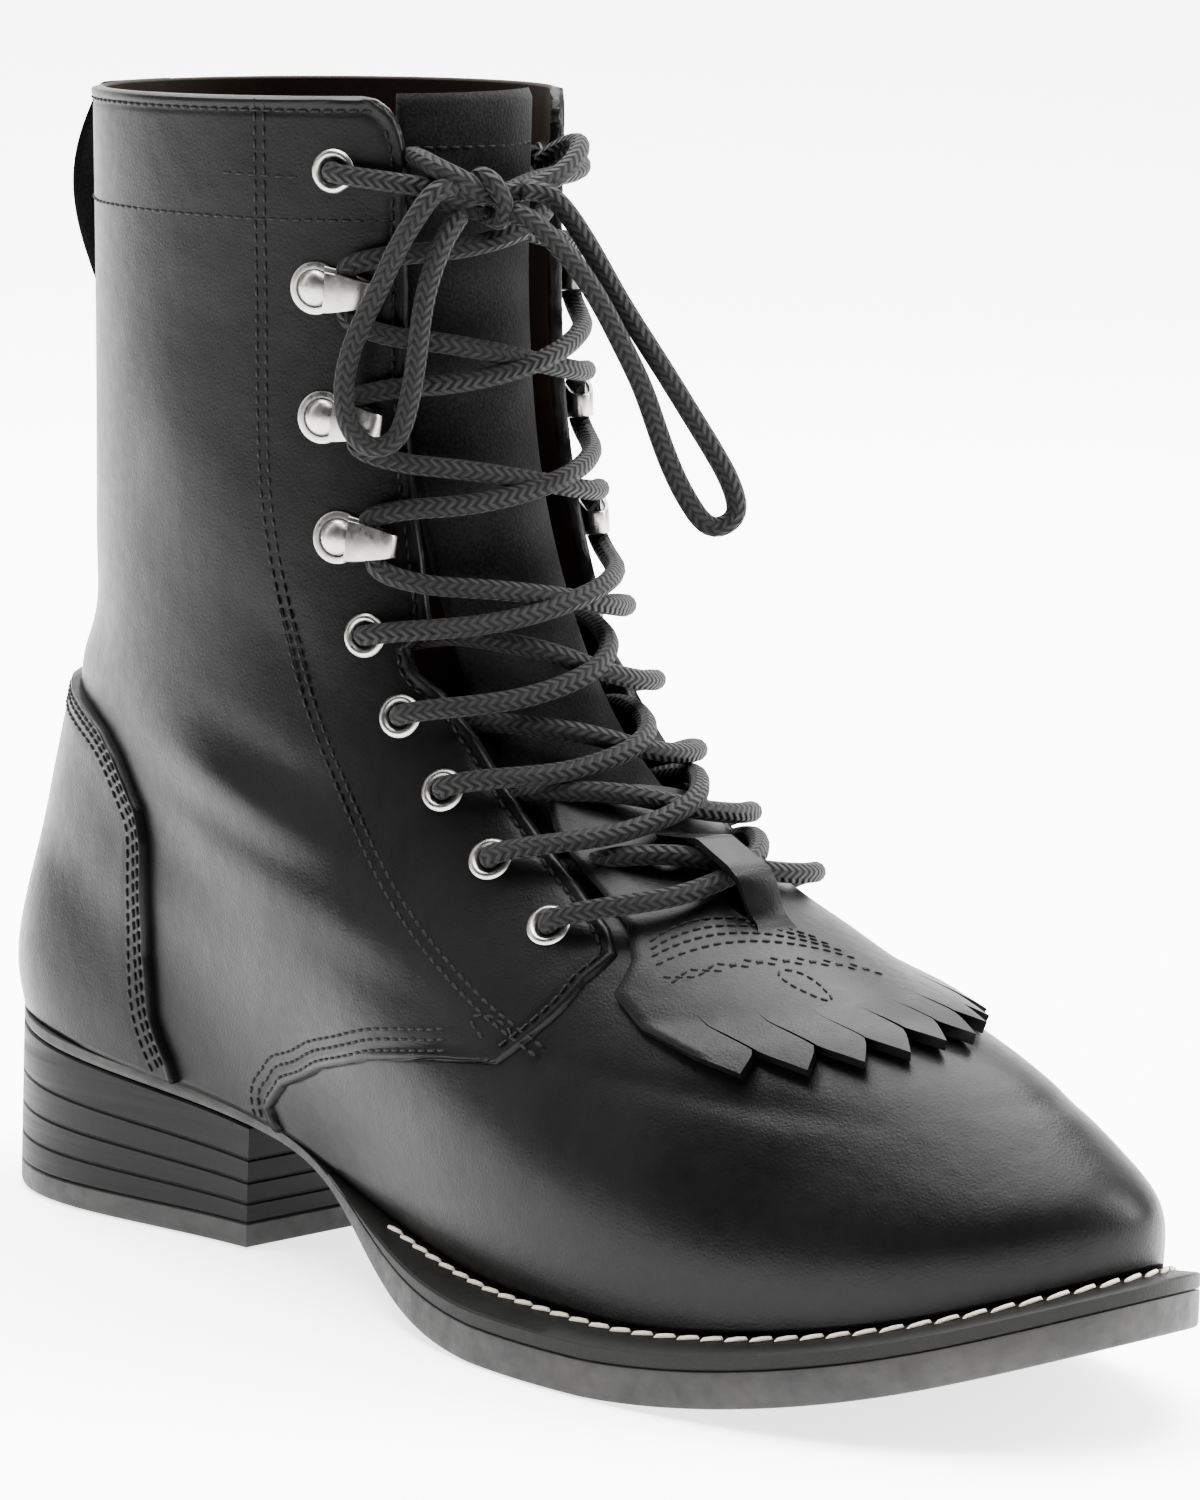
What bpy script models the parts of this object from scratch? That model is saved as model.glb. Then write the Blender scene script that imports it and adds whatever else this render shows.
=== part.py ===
"""A laced western boot for the right foot, in metres.

+X points to the toe, +Y to the inner side and +Z up. The origin is on the floor, under the heel's middle.
Places on the upper are named by u, from 0 at the sole to 1 at the collar, and v, from 0 at the front to 1 at
the back, negative on the outer side. A height is measured square to the upper's surface.
"""
import math

import bmesh
import bpy
import numpy as np
from mathutils import Matrix, Vector

# Sole and heel
SOLE_LENGTH = 0.306
BALL_WIDTH = 0.108
HEEL_WIDTH = 0.064
HEEL_LENGTH = 0.087
SEAT_HEIGHT = 0.0372      # floor to the outsole's underside at the back
TOE_SPRING = 0.0215
TOE_SWING = 0.007         # how far the toe bends to the inner side
OUTSOLE_THICKNESS = 0.0076
SOLE_CHAMFER = 0.0012
WELT_THICKNESS = 0.0034
WELT_RISE = 0.0021        # slope of the welt up to the upper
WELT_INSET = 0.004        # how far it reaches under the upper
WELT_CLEARANCE = 0.0006   # from the foot of its slope to the upper
TOP_LIFT = 0.0055
GROOVE_DEPTH = 0.0008
GROOVE_HALF = 0.0005
INSOLE_THICKNESS = 0.0032
INSOLE_INSET = 0.0045

# Upper
UPPER_HEIGHT = 0.196      # heel seat to collar at the back
SHAFT_WIDTH = 0.078
LINING_DEPTH = 0.0018     # inner face under the vamp's outer face
QUARTER_STEP = 0.0009     # how far the quarters stand over the vamp
COUNTER_THICKNESS = 0.0014
TONGUE_THICKNESS = 0.002
TONGUE_SINK = 0.0050
KILTIE_THICKNESS = 0.0018
BRIDGE_RISE = 0.0084
LOOP_WIDTH = 0.022
LOOP_THICKNESS = 0.0018
LOOP_BULGE = 0.0085
LOOP_LENGTH = 0.050
LOOP_RUN = 0.256          # length of the shaft's back that u of 1 would span
LOOP_DROP = 0.0012        # from the collar down to the loop

# Lacing
LACE_DIAMETER = 0.0042
EYELET_RADIUS = 0.0045
EYELET_BORE = 0.0024
EYELET_BARREL = 0.0028
EYELET_LENGTH = 0.0033
FLANGE = 0.0010
HOOK_BASE_RADIUS = 0.0058
HOOK_REACH = 0.0130
HOOK_WIDTH = 0.0078
HOOK_GAUGE = 0.0010
HOOK_MOUTH = 0.0050
RIVET_RADIUS = 0.0033
RIVET_HEIGHT = 0.0024
KNOT_RADIUS = 0.0058

GAP = 0.0003              # between pieces that meet
LAP_GAP = 0.0007          # under the counter, whose facets follow the quarters'

# Fineness of the meshes
EYELET_SIDES = 8
HOLE_SIDES = 8
RING_POINTS = 60          # points round the sole
INSOLE_POINTS = 40
FINE_POINTS = 400         # points round an outline that others are read from
HEEL_POINTS = 15          # points from each breast corner to the back
WELT_POINTS = 45
QUARTER_COLUMNS = 10      # columns of each quarter
VAMP_COLUMNS = 17
COUNTER_COLUMNS = 17
TONGUE_COLUMNS = 7
LOOP_POINTS = 12
LACE_STRIDE = 2.6         # diameters between the points of a lace

# Sole along its length: share of SOLE_LENGTH, then shares of SEAT_HEIGHT and TOE_SPRING that lift the
# underside, share of OUTSOLE_THICKNESS and share of the welt
SOLE_ROWS = np.array([
    # length, seat, spring, outsole, welt
    (0.000, 1.000, 0.00, 0.38, 0.00),
    (0.147, 0.852, 0.00, 0.38, 0.00),
    (0.284, 0.705, 0.00, 0.38, 0.00),
    (0.340, 0.615, 0.00, 0.33, 0.00),
    (0.380, 0.500, 0.00, 0.36, 0.10),
    (0.440, 0.270, 0.00, 0.68, 0.50),
    (0.500, 0.105, 0.00, 0.92, 0.80),
    (0.560, 0.020, 0.00, 1.00, 0.95),
    (0.637, -0.008, 0.00, 1.00, 1.00),
    (0.720, 0.000, 0.02, 1.00, 1.00),
    (0.817, 0.000, 0.20, 1.00, 1.00),
    (0.915, 0.000, 0.55, 1.00, 1.00),
    (1.000, 0.000, 1.00, 1.00, 1.00),
])

# Half widths of an outline are given at these shares of its length, from the back. The first four are percent
# of half HEEL_WIDTH and the others percent of half BALL_WIDTH; above the ankle all are of half SHAFT_WIDTH.
# A value is the width of the ellipse that would pass through that point.
WIDTH_SHARES = [0, 0.06, 0.16, 0.36, 0.52, 0.70, 0.86, 0.95, 1.0]
SOLE_OUTER = [219, 194, 140, 100, 93, 115, 125, 131, 133]
SOLE_INNER = [219, 194, 138, 94, 64, 100, 115, 121, 126]

# Loops round the last from the feather line to the collar
FOOT_LOOPS = [
    # front: share of length, rise; back: the same; sag; outer widths; inner widths
    (0.980, 0.000, 0.010, 0.000, 1.00, [212, 175, 131, 97, 76, 98, 109, 115, 115],
     [212, 175, 128, 88, 57, 91, 102, 98, 102]),
    (0.979, 0.060, 0.000, 0.049, 0.92, [206, 175, 134, 109, 83, 104, 113, 117, 115],
     [206, 175, 131, 100, 70, 94, 100, 94, 98]),
    (0.951, 0.122, 0.003, 0.111, 0.70, [191, 166, 131, 119, 87, 104, 107, 107, 104],
     [191, 166, 128, 112, 78, 94, 94, 89, 89]),
    (0.880, 0.225, 0.010, 0.173, 0.45, [169, 147, 128, 125, 85, 93, 91, 87, 85],
     [169, 147, 125, 119, 81, 91, 85, 80, 78]),
    (0.768, 0.317, 0.020, 0.242, 0.25, [150, 138, 122, 125, 81, 85, 81, 78, 76],
     [150, 138, 122, 122, 80, 85, 81, 78, 76]),
]
SHAFT_LOOPS = [
    # front: share of length, rise; back: the same; sag; widths
    (0.641, 0.406, 0.033, 0.331, 0.10, [108, 103, 97, 102, 105, 105, 103, 97, 95]),
    (0.533, 0.518, 0.049, 0.452, 0.00, [97, 95, 95, 97, 97, 97, 95, 92, 90]),
    (0.461, 0.677, 0.056, 0.611, 0.00, [95, 95, 95, 97, 97, 97, 95, 92, 92]),
    (0.425, 0.882, 0.056, 0.810, 0.00, [97, 97, 97, 97, 97, 97, 97, 97, 97]),
    (0.418, 1.143, 0.052, 1.011, 0.00, [100, 100, 100, 100, 100, 100, 100, 100, 100]),
]

# Front edge of the quarters: the seam over the vamp, the corner, the lacing edge with its notch, and the
# collar corner
QUARTER_EDGE = [
    # u, v
    (0.000, 0.617), (0.018, 0.620), (0.050, 0.600), (0.092, 0.555), (0.129, 0.500), (0.154, 0.445),
    (0.166, 0.397), (0.220, 0.340), (0.271, 0.287), (0.305, 0.240), (0.333, 0.223), (0.375, 0.215),
    (0.442, 0.215), (0.508, 0.220), (0.545, 0.238), (0.560, 0.262), (0.578, 0.262), (0.595, 0.225),
    (0.654, 0.210), (0.742, 0.198), (0.854, 0.185), (0.940, 0.185), (0.970, 0.190), (0.990, 0.210),
    (1.000, 0.237),
]
BETWEEN_ROWS = [0.072, 0.192, 0.408, 0.425, 0.475]    # further rows of the upper's walls, in u
THROAT_END = 0.333        # u where the lacing edges start over the vamp
SEAM_WIDTH = 0.004        # v over which the step from vamp to quarter falls

WELT_REACH = 0.58         # v where the welt ends at the waist
GROOVE_SHARES = [0.20, 0.42, 0.655]      # grooves between the heel's lifts, in shares of its height

# Front edge of the heel counter
COUNTER_EDGE = [
    # u, v
    (0.020, 0.690), (0.054, 0.698), (0.104, 0.701), (0.160, 0.694), (0.204, 0.688), (0.260, 0.681),
    (0.308, 0.680), (0.345, 0.692), (0.371, 0.705), (0.395, 0.730), (0.410, 0.775), (0.421, 0.860),
    (0.425, 0.930),
]

# Tongue: rows in u, its two edges in v, and the rows over which it sinks from the vamp to its full depth
TONGUE_ROWS = [0.285, 0.320, 0.355, 0.400, 0.460, 0.530, 0.600, 0.680, 0.770, 0.860, 0.940, 1.0]
TONGUE_EDGES = (-0.205, 0.150)
TONGUE_SLOPE = (0.32, 0.52)

# Hardware on each lacing edge, from the toe up: u, v
LOWER_EYELETS = [(0.329, 0.277), (0.392, 0.285), (0.454, 0.292), (0.517, 0.302), (0.583, 0.310)]
TOP_EYELET = (0.946, 0.285)
HOOKS = [(0.662, 0.312), (0.758, 0.310), (0.858, 0.310)]
SIDES = [("lateral", -1), ("medial", 1)]

STRIPS = 10               # strips of the kiltie's fringe
KILTIE_ROWS = [
    # u on the strips' centres, u on their edges, half width in v, height over the vamp, rise of the strap
    (0.196, 0.214, 0.228, 0.0006, 0.0),
    (0.244, 0.244, 0.246, 0.0003, 0.0),
    (0.272, 0.272, 0.242, 0.0003, 0.0),
    (0.302, 0.302, 0.200, 0.0003, 0.0),
    (0.331, 0.331, 0.174, 0.0002, 0.45),
    (0.350, 0.350, 0.169, 0.0000, 0.92),
    (0.372, 0.372, 0.166, -0.0003, 1.0),
    (0.393, 0.393, 0.166, -0.0006, 1.0),
    (0.412, 0.412, 0.165, -0.0008, 0.5),
    (0.430, 0.430, 0.163, -0.0009, 0.0),
    (0.474, 0.474, 0.135, -0.0010, 0.0),
]
KILTIE_CENTRE = -0.035    # v of its middle: it sits a little to the outer side
SLIT = 0.0020             # width of a slit in v
FRINGE_TOP = 1            # row where the slits end
STRAP_FIRST = 3           # first strip that the strap over the lowest crossing goes on from
STRAP_STRIPS = 3          # strips that it goes on from
STRAP_SIDES = (-0.22, 0.09)              # shares of the half width
STRAP_ROWS = (0.302, 0.331)              # u over which the columns close in to the strap's sides
FRINGE_SLANT = 0.10       # u that the fringe gains for each v to the inner side
SLANT_ROWS = (0.244, 0.331)              # u over which the slant fades away

# Outline of a hook's strip: toward the throat along the base, then back over itself to its open lip
HOOK_FOLD = [
    # share of HOOK_REACH, share of HOOK_MOUTH, share of HOOK_GAUGE
    (0.277, 0.0, 0.2), (0.908, 0.0, 0.2), (1.000, 0.0, 1.2), (1.000, 1.0, 0.2), (0.892, 1.0, 1.2),
    (0.338, 1.0, 1.8), (0.277, 1.0, 1.0), (0.892, 1.0, 0.2), (0.923, 0.0, 1.2), (0.277, 0.0, 0.8),
]
HOLE_TURN = 0.1           # turn of the eyelet holes, off the wall's own edges

# Laces cross from each piece of hardware to the next one above on the other side. A strand leaves over its
# own lacing edge and arrives under the other edge, or at a hook beside it.
CROSSINGS = [
    # leave u, v, height; height over the edge; middle u, height; height before the far edge;
    # arrive u, v, height
    (0.339, 0.236, 0.0042, 0.0056, 0.380, 0.0048, 0.0048, 0.400, 0.125, 0.0044),
    (0.402, 0.240, 0.0042, 0.0056, 0.440, 0.0048, 0.0042, 0.462, 0.125, 0.0038),
    (0.464, 0.246, 0.0040, 0.0044, 0.500, 0.0034, 0.0020, 0.524, 0.130, 0.0006),
    (0.527, 0.252, 0.0040, 0.0044, 0.566, 0.0034, 0.0020, 0.592, 0.130, 0.0002),
    (0.592, 0.258, 0.0040, 0.0048, 0.618, 0.0054, 0.0054, 0.6345, 0.262, 0.0046),
    (0.6868, 0.262, 0.0046, 0.0056, 0.711, 0.0056, 0.0054, 0.7332, 0.262, 0.0046),
    (0.7828, 0.262, 0.0046, 0.0056, 0.808, 0.0056, 0.0054, 0.8332, 0.262, 0.0046),
    (0.8828, 0.262, 0.0035, 0.0038, 0.906, 0.0022, 0.0012, 0.926, 0.130, 0.0000),
]
CROSS_STEP = 0.0006       # how far each strand lies over or under the middle

# The bow: u, v, height
KNOT = (0.9325, -0.084, 0.0077)
LEFT_LOOP = [
    (0.940, -0.131, 0.0090), (0.937, -0.150, 0.0106), (0.922, -0.171, 0.0116), (0.897, -0.194, 0.0118),
    (0.866, -0.216, 0.0118), (0.835, -0.239, 0.0118), (0.802, -0.257, 0.0120), (0.775, -0.263, 0.0120),
    (0.751, -0.257, 0.0118), (0.740, -0.238, 0.0118), (0.746, -0.215, 0.0116), (0.767, -0.197, 0.0116),
    (0.793, -0.185, 0.0118), (0.826, -0.175, 0.0120), (0.859, -0.166, 0.0120), (0.883, -0.155, 0.0118),
    (0.905, -0.139, 0.0106), (0.918, -0.122, 0.0086),
]
RIGHT_TURN = math.radians(44.5)           # from the toe's direction to the plane that the other loop hangs in
RIGHT_LOOP = [
    # shares of SOLE_LENGTH from the knot's centre: away in its plane, out of that plane, up
    (0.022, -0.003, 0.004), (0.039, -0.008, 0.001), (0.056, -0.008, -0.015), (0.072, -0.008, -0.039),
    (0.087, -0.008, -0.064), (0.103, -0.006, -0.088), (0.121, -0.003, -0.114), (0.139, -0.001, -0.141),
    (0.156, 0.000, -0.167), (0.168, 0.000, -0.190), (0.169, 0.000, -0.207), (0.157, 0.001, -0.214),
    (0.141, 0.001, -0.201), (0.127, 0.002, -0.176), (0.116, 0.003, -0.149), (0.106, 0.006, -0.123),
    (0.093, 0.008, -0.097), (0.078, 0.008, -0.070), (0.060, 0.008, -0.044), (0.042, 0.008, -0.025),
    (0.027, 0.006, -0.0135), (0.0185, 0.003, -0.0105),
]

# Materials: colour, roughness, metallic
LOOKS = {
    "leather": ((0.012, 0.012, 0.013), 0.38, 0.0),
    "suede": ((0.010, 0.010, 0.011), 0.85, 0.0),
    "rubber": ((0.030, 0.031, 0.033), 0.62, 0.0),
    "welt": ((0.022, 0.022, 0.023), 0.50, 0.0),
    "heel": ((0.024, 0.024, 0.025), 0.55, 0.0),
    "insole": ((0.045, 0.028, 0.018), 0.70, 0.0),
    "nickel": ((0.62, 0.61, 0.58), 0.33, 1.0),
    "lace": ((0.014, 0.014, 0.014), 0.80, 0.0),
}


# Curves and heights

def spline(knots, values, at):
    """Natural cubic spline through the rows of values."""
    k, v, at = np.asarray(knots, float), np.asarray(values, float), np.asarray(at, float)
    count = len(k)
    step = np.diff(k)
    system = np.zeros((count, count))
    system[0, 0] = system[-1, -1] = 1
    right = np.zeros((count,) + v.shape[1:])
    slope = np.diff(v, axis=0) / step.reshape((-1,) + (1,) * (v.ndim - 1))
    for i in range(1, count - 1):
        system[i, i - 1:i + 2] = step[i - 1], 2 * (step[i - 1] + step[i]), step[i]
        right[i] = 6 * (slope[i] - slope[i - 1])
    bend = np.linalg.solve(system, right.reshape(count, -1)).reshape(right.shape)
    i = np.clip(np.searchsorted(k, at, side="right") - 1, 0, count - 2)
    shape = at.shape + (1,) * (v.ndim - 1)
    t = (at - k[i]).reshape(shape)
    width = step[i].reshape(shape)
    a = (bend[i + 1] - bend[i]) / (6 * width)
    b = bend[i] / 2
    c = slope[i] - width * (2 * bend[i] + bend[i + 1]) / 6
    return ((a * t + b) * t + c) * t + v[i]


def sole_heights(x):
    """Underside and top of the outsole, top of the welt's outer edge, and feather line, at a distance x."""
    row = spline(SOLE_ROWS[:, 0], SOLE_ROWS[:, 1:], np.asarray(x) / SOLE_LENGTH)
    under = np.maximum(row[..., 0] * SEAT_HEIGHT + row[..., 1] * TOE_SPRING, 0)
    top = under + row[..., 2] * OUTSOLE_THICKNESS
    welt = top + row[..., 3] * WELT_THICKNESS
    return under, top, welt, welt + row[..., 3] * WELT_RISE + GAP


def feather(x):
    return sole_heights(x)[3]


def foot_units():
    return np.array([HEEL_WIDTH] * 4 + [BALL_WIDTH] * 5) / 200


def swing(x):
    """The bend of the forefoot to the inner side."""
    start = 0.555 * SOLE_LENGTH
    return TOE_SWING * (np.maximum(x - start, 0) / (SOLE_LENGTH - start)) ** 2


def loop_table():
    """Each loop as front x and z, back x and z, sag, then half widths in metres, outer and inner."""
    rows = []
    for front, front_rise, back, back_rise, sag, outer, inner in FOOT_LOOPS:
        rows.append((front, front_rise, back, back_rise, sag, foot_units() * outer, foot_units() * inner))
    for front, front_rise, back, back_rise, sag, widths in SHAFT_LOOPS:
        half = np.array(widths) * SHAFT_WIDTH / 200
        rows.append((front, front_rise, back, back_rise, sag, half, half))
    table = []
    for front, front_rise, back, back_rise, sag, outer, inner in rows:
        x0, x1 = front * SOLE_LENGTH, back * SOLE_LENGTH
        z0, z1 = feather(x0) + front_rise * UPPER_HEIGHT, feather(x1) + back_rise * UPPER_HEIGHT
        table.append([x0, z0, x1, z1, sag, *outer, *inner])
    return np.array(table)


LOOPS = loop_table()
STRIDES = sum(np.linalg.norm(np.diff(LOOPS[:, end:end + 2], axis=0), axis=1) for end in (0, 2))
LOOP_U = np.concatenate([[0], np.cumsum(STRIDES)]) / STRIDES.sum()


def around(v, outer, inner):
    """Share of the length, and sideways place, of the points v of an outline."""
    turn = np.abs(v) * np.pi
    share = (1 + np.cos(turn)) / 2
    weights = spline(WIDTH_SHARES, np.eye(len(WIDTH_SHARES)), share)
    width = np.where((v < 0)[..., None], outer, inner)
    return share, np.where(v < 0, -1, 1) * np.sin(turn) * (weights * width).sum(-1)


def base_surface(u, v):
    """Points of the last, out to the vamp's outer face."""
    u, v = np.broadcast_arrays(np.asarray(u, float), np.asarray(v, float))
    v = np.where(np.abs(v) > 1, v - 2 * np.sign(v), v)
    row = spline(LOOP_U, LOOPS, u)
    share, y = around(v, row[..., 5:14], row[..., 14:23])
    x = row[..., 2] + (row[..., 0] - row[..., 2]) * share
    z = row[..., 3] + (row[..., 1] - row[..., 3]) * share
    low = LOOPS[0]
    low_x = low[2] + (low[0] - low[2]) * share
    low_z = low[3] + (low[1] - low[3]) * share
    z = z - row[..., 4] * (low_z - feather(low_x))
    return np.stack([x - HEEL_LENGTH / 2, y + swing(x), z], -1)


def normals(u, v):
    """Unit normals of the last, pointing out."""
    u, v = np.broadcast_arrays(np.asarray(u, float), np.asarray(v, float))
    step = 0.004
    low, high = np.maximum(u - step, 0), np.minimum(u + step, 1)
    up = base_surface(high, v) - base_surface(low, v)
    along = base_surface(u, v + step) - base_surface(u, v - step)
    out = np.cross(along, up)
    return out / np.linalg.norm(out, axis=-1, keepdims=True)


def upper_point(u, v, height=0.0):
    """A point at a height over the last."""
    return base_surface(u, v) + normals(u, v) * np.asarray(height)[..., None]


def right_loop():
    """Points of the loop that falls to the inner side."""
    away, aside, up = SOLE_LENGTH * np.array(RIGHT_LOOP).T
    cosine, sine = math.cos(RIGHT_TURN), math.sin(RIGHT_TURN)
    return upper_point(*KNOT) + np.stack([away * cosine + aside * sine, away * sine - aside * cosine, up], -1)


def kiltie_place(u, share, half):
    """Places u, v over the kiltie: even and slanting over its fringe, closed in to the strap above."""
    strap = [-1 + 2 * STRAP_FIRST / STRIPS, -1 + 2 * (STRAP_FIRST + STRAP_STRIPS) / STRIPS]
    closed = np.interp(share, [-1, *strap, 1], [-1, *STRAP_SIDES, 1])
    across = half * (share + (closed - share) * np.interp(u, STRAP_ROWS, (0, 1)))
    return u + FRINGE_SLANT * across * np.interp(u, SLANT_ROWS, (1, 0)), KILTIE_CENTRE + across


def quarter_edge(u):
    table = np.array(QUARTER_EDGE)
    return np.interp(u, table[:, 0], table[:, 1])


def sole_outline(v, inset=0.0):
    """Points x, y of the sole's edge, from the heel's back."""
    share, y = around(v, foot_units() * SOLE_OUTER, foot_units() * SOLE_INNER)
    x = share * SOLE_LENGTH
    return inset_outline(np.stack([x, y + swing(x)], -1), inset)


def feather_outline(v, inset):
    """Points x, y of the line where the upper meets the sole, moved in by inset."""
    place = base_surface(np.zeros_like(v), v)
    return inset_outline(place[:, :2] + [HEEL_LENGTH / 2, 0], inset)


def inset_outline(points, inset):
    along = np.roll(points, -1, axis=0) - np.roll(points, 1, axis=0)
    along /= np.linalg.norm(along, axis=1, keepdims=True)
    return points + inset * np.stack([-along[:, 1], along[:, 0]], -1)


def ring_places(count):
    """Evenly spaced v round an outline from the back, none at the very back or front."""
    return -1 + (2 * np.arange(count) + 1) / count


# Objects and solids

def new_object(name, mesh, look, collection):
    obj = bpy.data.objects.new(name, mesh)
    collection.objects.link(obj)
    if look:
        mesh.materials.append(material(look))
    return obj


def material(look):
    found = bpy.data.materials.get(look)
    if found:
        return found
    colour, roughness, metallic = LOOKS[look]
    made = bpy.data.materials.new(look)
    made.use_nodes = True
    shader = made.node_tree.nodes["Principled BSDF"]
    shader.inputs["Base Color"].default_value = (*colour, 1)
    shader.inputs["Roughness"].default_value = roughness
    shader.inputs["Metallic"].default_value = metallic
    return made


def closed_mesh(name, points, faces):
    """A mesh with its unused points left out and its faces turned outward."""
    mesh = bpy.data.meshes.new(name)
    bm = bmesh.new()
    used = sorted({i for face in faces for i in face})
    verts = {i: bm.verts.new(points[i]) for i in used}
    for face in faces:
        bm.faces.new([verts[i] for i in face])
    bmesh.ops.triangulate(bm, faces=bm.faces)
    bmesh.ops.recalc_face_normals(bm, faces=bm.faces)
    bm.to_mesh(mesh)
    bm.free()
    return mesh


def smooth(mesh, angle=35):
    mesh.shade_smooth()
    mesh.set_sharp_from_angle(angle=math.radians(angle))


def shell(name, outer, inner, cells, look, collection):
    """A closed solid between two grids of points, over the cells that are True, with its rim closed."""
    rows, columns = outer.shape[:2]
    points = np.concatenate([outer.reshape(-1, 3), inner.reshape(-1, 3)])
    below = rows * columns
    faces = []
    edges = {}
    for r, c in np.argwhere(cells):
        c2 = (c + 1) % columns
        quad = [r * columns + c, r * columns + c2, (r + 1) * columns + c2, (r + 1) * columns + c]
        faces.append(quad)
        faces.append([i + below for i in reversed(quad)])
        for a, b in zip(quad, quad[1:] + quad[:1]):
            edges[(a, b)] = True
    for a, b in edges:
        if (b, a) not in edges:
            faces.append([b, a, a + below, b + below])
    mesh = closed_mesh(name, points, faces)
    smooth(mesh)
    return new_object(name, mesh, look, collection)


def slab(name, rings, look, collection):
    """A closed solid through rings of points x, y, z, bottom to top, with its ends paired across."""
    rings = np.array(rings)
    count = rings.shape[1]
    points = rings.reshape(-1, 3)
    faces = []
    for level in range(len(rings) - 1):
        for j in range(count):
            a, b = level * count + j, level * count + (j + 1) % count
            faces.append([a, b, b + count, a + count])
    last = (len(rings) - 1) * count
    for j in range(count // 2 - 1):
        cap = [j, j + 1, count - 2 - j, count - 1 - j]
        faces.append(cap)
        faces.append([i + last for i in cap])
    mesh = closed_mesh(name, points, faces)
    smooth(mesh)
    return new_object(name, mesh, look, collection)


def at_origin(points):
    """Points measured from the heel's back, moved so that the origin is under the heel's middle."""
    return points - np.array([HEEL_LENGTH / 2, 0, 0])


def raised(outline, height):
    """Points x, y with a height from their own x, from the heel's back."""
    return at_origin(np.column_stack([outline, height(outline[:, 0])]))


# Sole pieces

def outsole(collection):
    v = ring_places(RING_POINTS)
    edge = sole_outline(v)
    bottom = raised(sole_outline(v, SOLE_CHAMFER), lambda x: sole_heights(x)[0])
    low = raised(edge, lambda x: sole_heights(x)[0] + SOLE_CHAMFER)
    top = raised(edge, lambda x: sole_heights(x)[1])
    return slab("outsole", [bottom, low, top], "rubber", collection)


def welt(collection):
    """The welt strip from the waist round the toe, with its slope up to the upper."""
    v = np.linspace(-WELT_REACH, WELT_REACH, WELT_POINTS)
    ring = ring_places(FINE_POINTS)
    edge, foot = sole_outline(ring), feather_outline(ring, -WELT_CLEARANCE)
    inside = feather_outline(ring, WELT_INSET)
    sections = []
    for lines, part in ((edge, "under"), (edge, "edge"), (foot, "foot"), (inside, "foot"), (inside, "under")):
        line = np.stack([np.interp(v, ring, lines[:, 0]), np.interp(v, ring, lines[:, 1])], -1)
        heights = sole_heights(line[:, 0])
        z = {"under": heights[1] + GAP, "edge": heights[2], "foot": heights[3] - GAP}[part]
        sections.append(at_origin(np.column_stack([line, z])))
    sections = np.array(sections)
    sides, count = sections.shape[:2]
    points = sections.reshape(-1, 3)
    faces = []
    for side in range(sides):
        a, b = side * count, (side + 1) % sides * count
        faces += [[a + j, a + j + 1, b + j + 1, b + j] for j in range(count - 1)]
    faces += [[side * count for side in range(sides)], [side * count + count - 1 for side in range(sides)]]
    mesh = closed_mesh("welt", points, faces)
    smooth(mesh)
    return new_object("welt", mesh, "welt", collection)


def heel_outline(inset):
    """Points x, y of the heel, from the outer breast corner round the back to the inner one."""
    breast = math.acos(2 * HEEL_LENGTH / SOLE_LENGTH - 1) / math.pi
    v = np.concatenate([np.linspace(-breast, -1, HEEL_POINTS)[:-1], np.linspace(1, breast, HEEL_POINTS)[1:]])
    ring = ring_places(FINE_POINTS)
    line = sole_outline(ring, inset)
    x, y = np.interp(v, ring, line[:, 0]), np.interp(v, ring, line[:, 1])
    return np.stack([np.minimum(x, HEEL_LENGTH - inset), y], -1)


def heel_stack(collection):
    """The stacked heel above its top lift, with a groove between lifts."""
    bottom = TOP_LIFT + GAP
    rings = [raised(heel_outline(0), lambda x: bottom + 0 * x)]
    for share in GROOVE_SHARES:
        for inset, shift in ((0, -GROOVE_HALF), (GROOVE_DEPTH, 0), (0, GROOVE_HALF)):
            rings.append(raised(heel_outline(inset), lambda x: heel_level(x, share) + shift))
    rings.append(raised(heel_outline(0), lambda x: heel_level(x, 1)))
    return slab("heel_stack", rings, "heel", collection)


def heel_level(x, share):
    bottom = TOP_LIFT + GAP
    return bottom + share * (sole_heights(x)[0] - GAP - bottom)


def heel_top_lift(collection):
    rings = [raised(heel_outline(inset), lambda x: z + 0 * x)
             for inset, z in ((SOLE_CHAMFER, 0), (0, SOLE_CHAMFER), (0, TOP_LIFT))]
    return slab("heel_top_lift", rings, "rubber", collection)


def insole(collection):
    outline = feather_outline(ring_places(INSOLE_POINTS), INSOLE_INSET)
    under = raised(outline, lambda x: sole_heights(x)[1] + GAP)
    top = raised(outline, lambda x: sole_heights(x)[3] + INSOLE_THICKNESS)
    return slab("insole", [under, top], "insole", collection)


# Upper pieces

def seated(points, u):
    """Points of the lowest row, brought to the feather line."""
    low = np.isclose(u, 0)
    points[low, :, 2] = feather(points[low, :, 0] + HEEL_LENGTH / 2)
    return points


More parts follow.
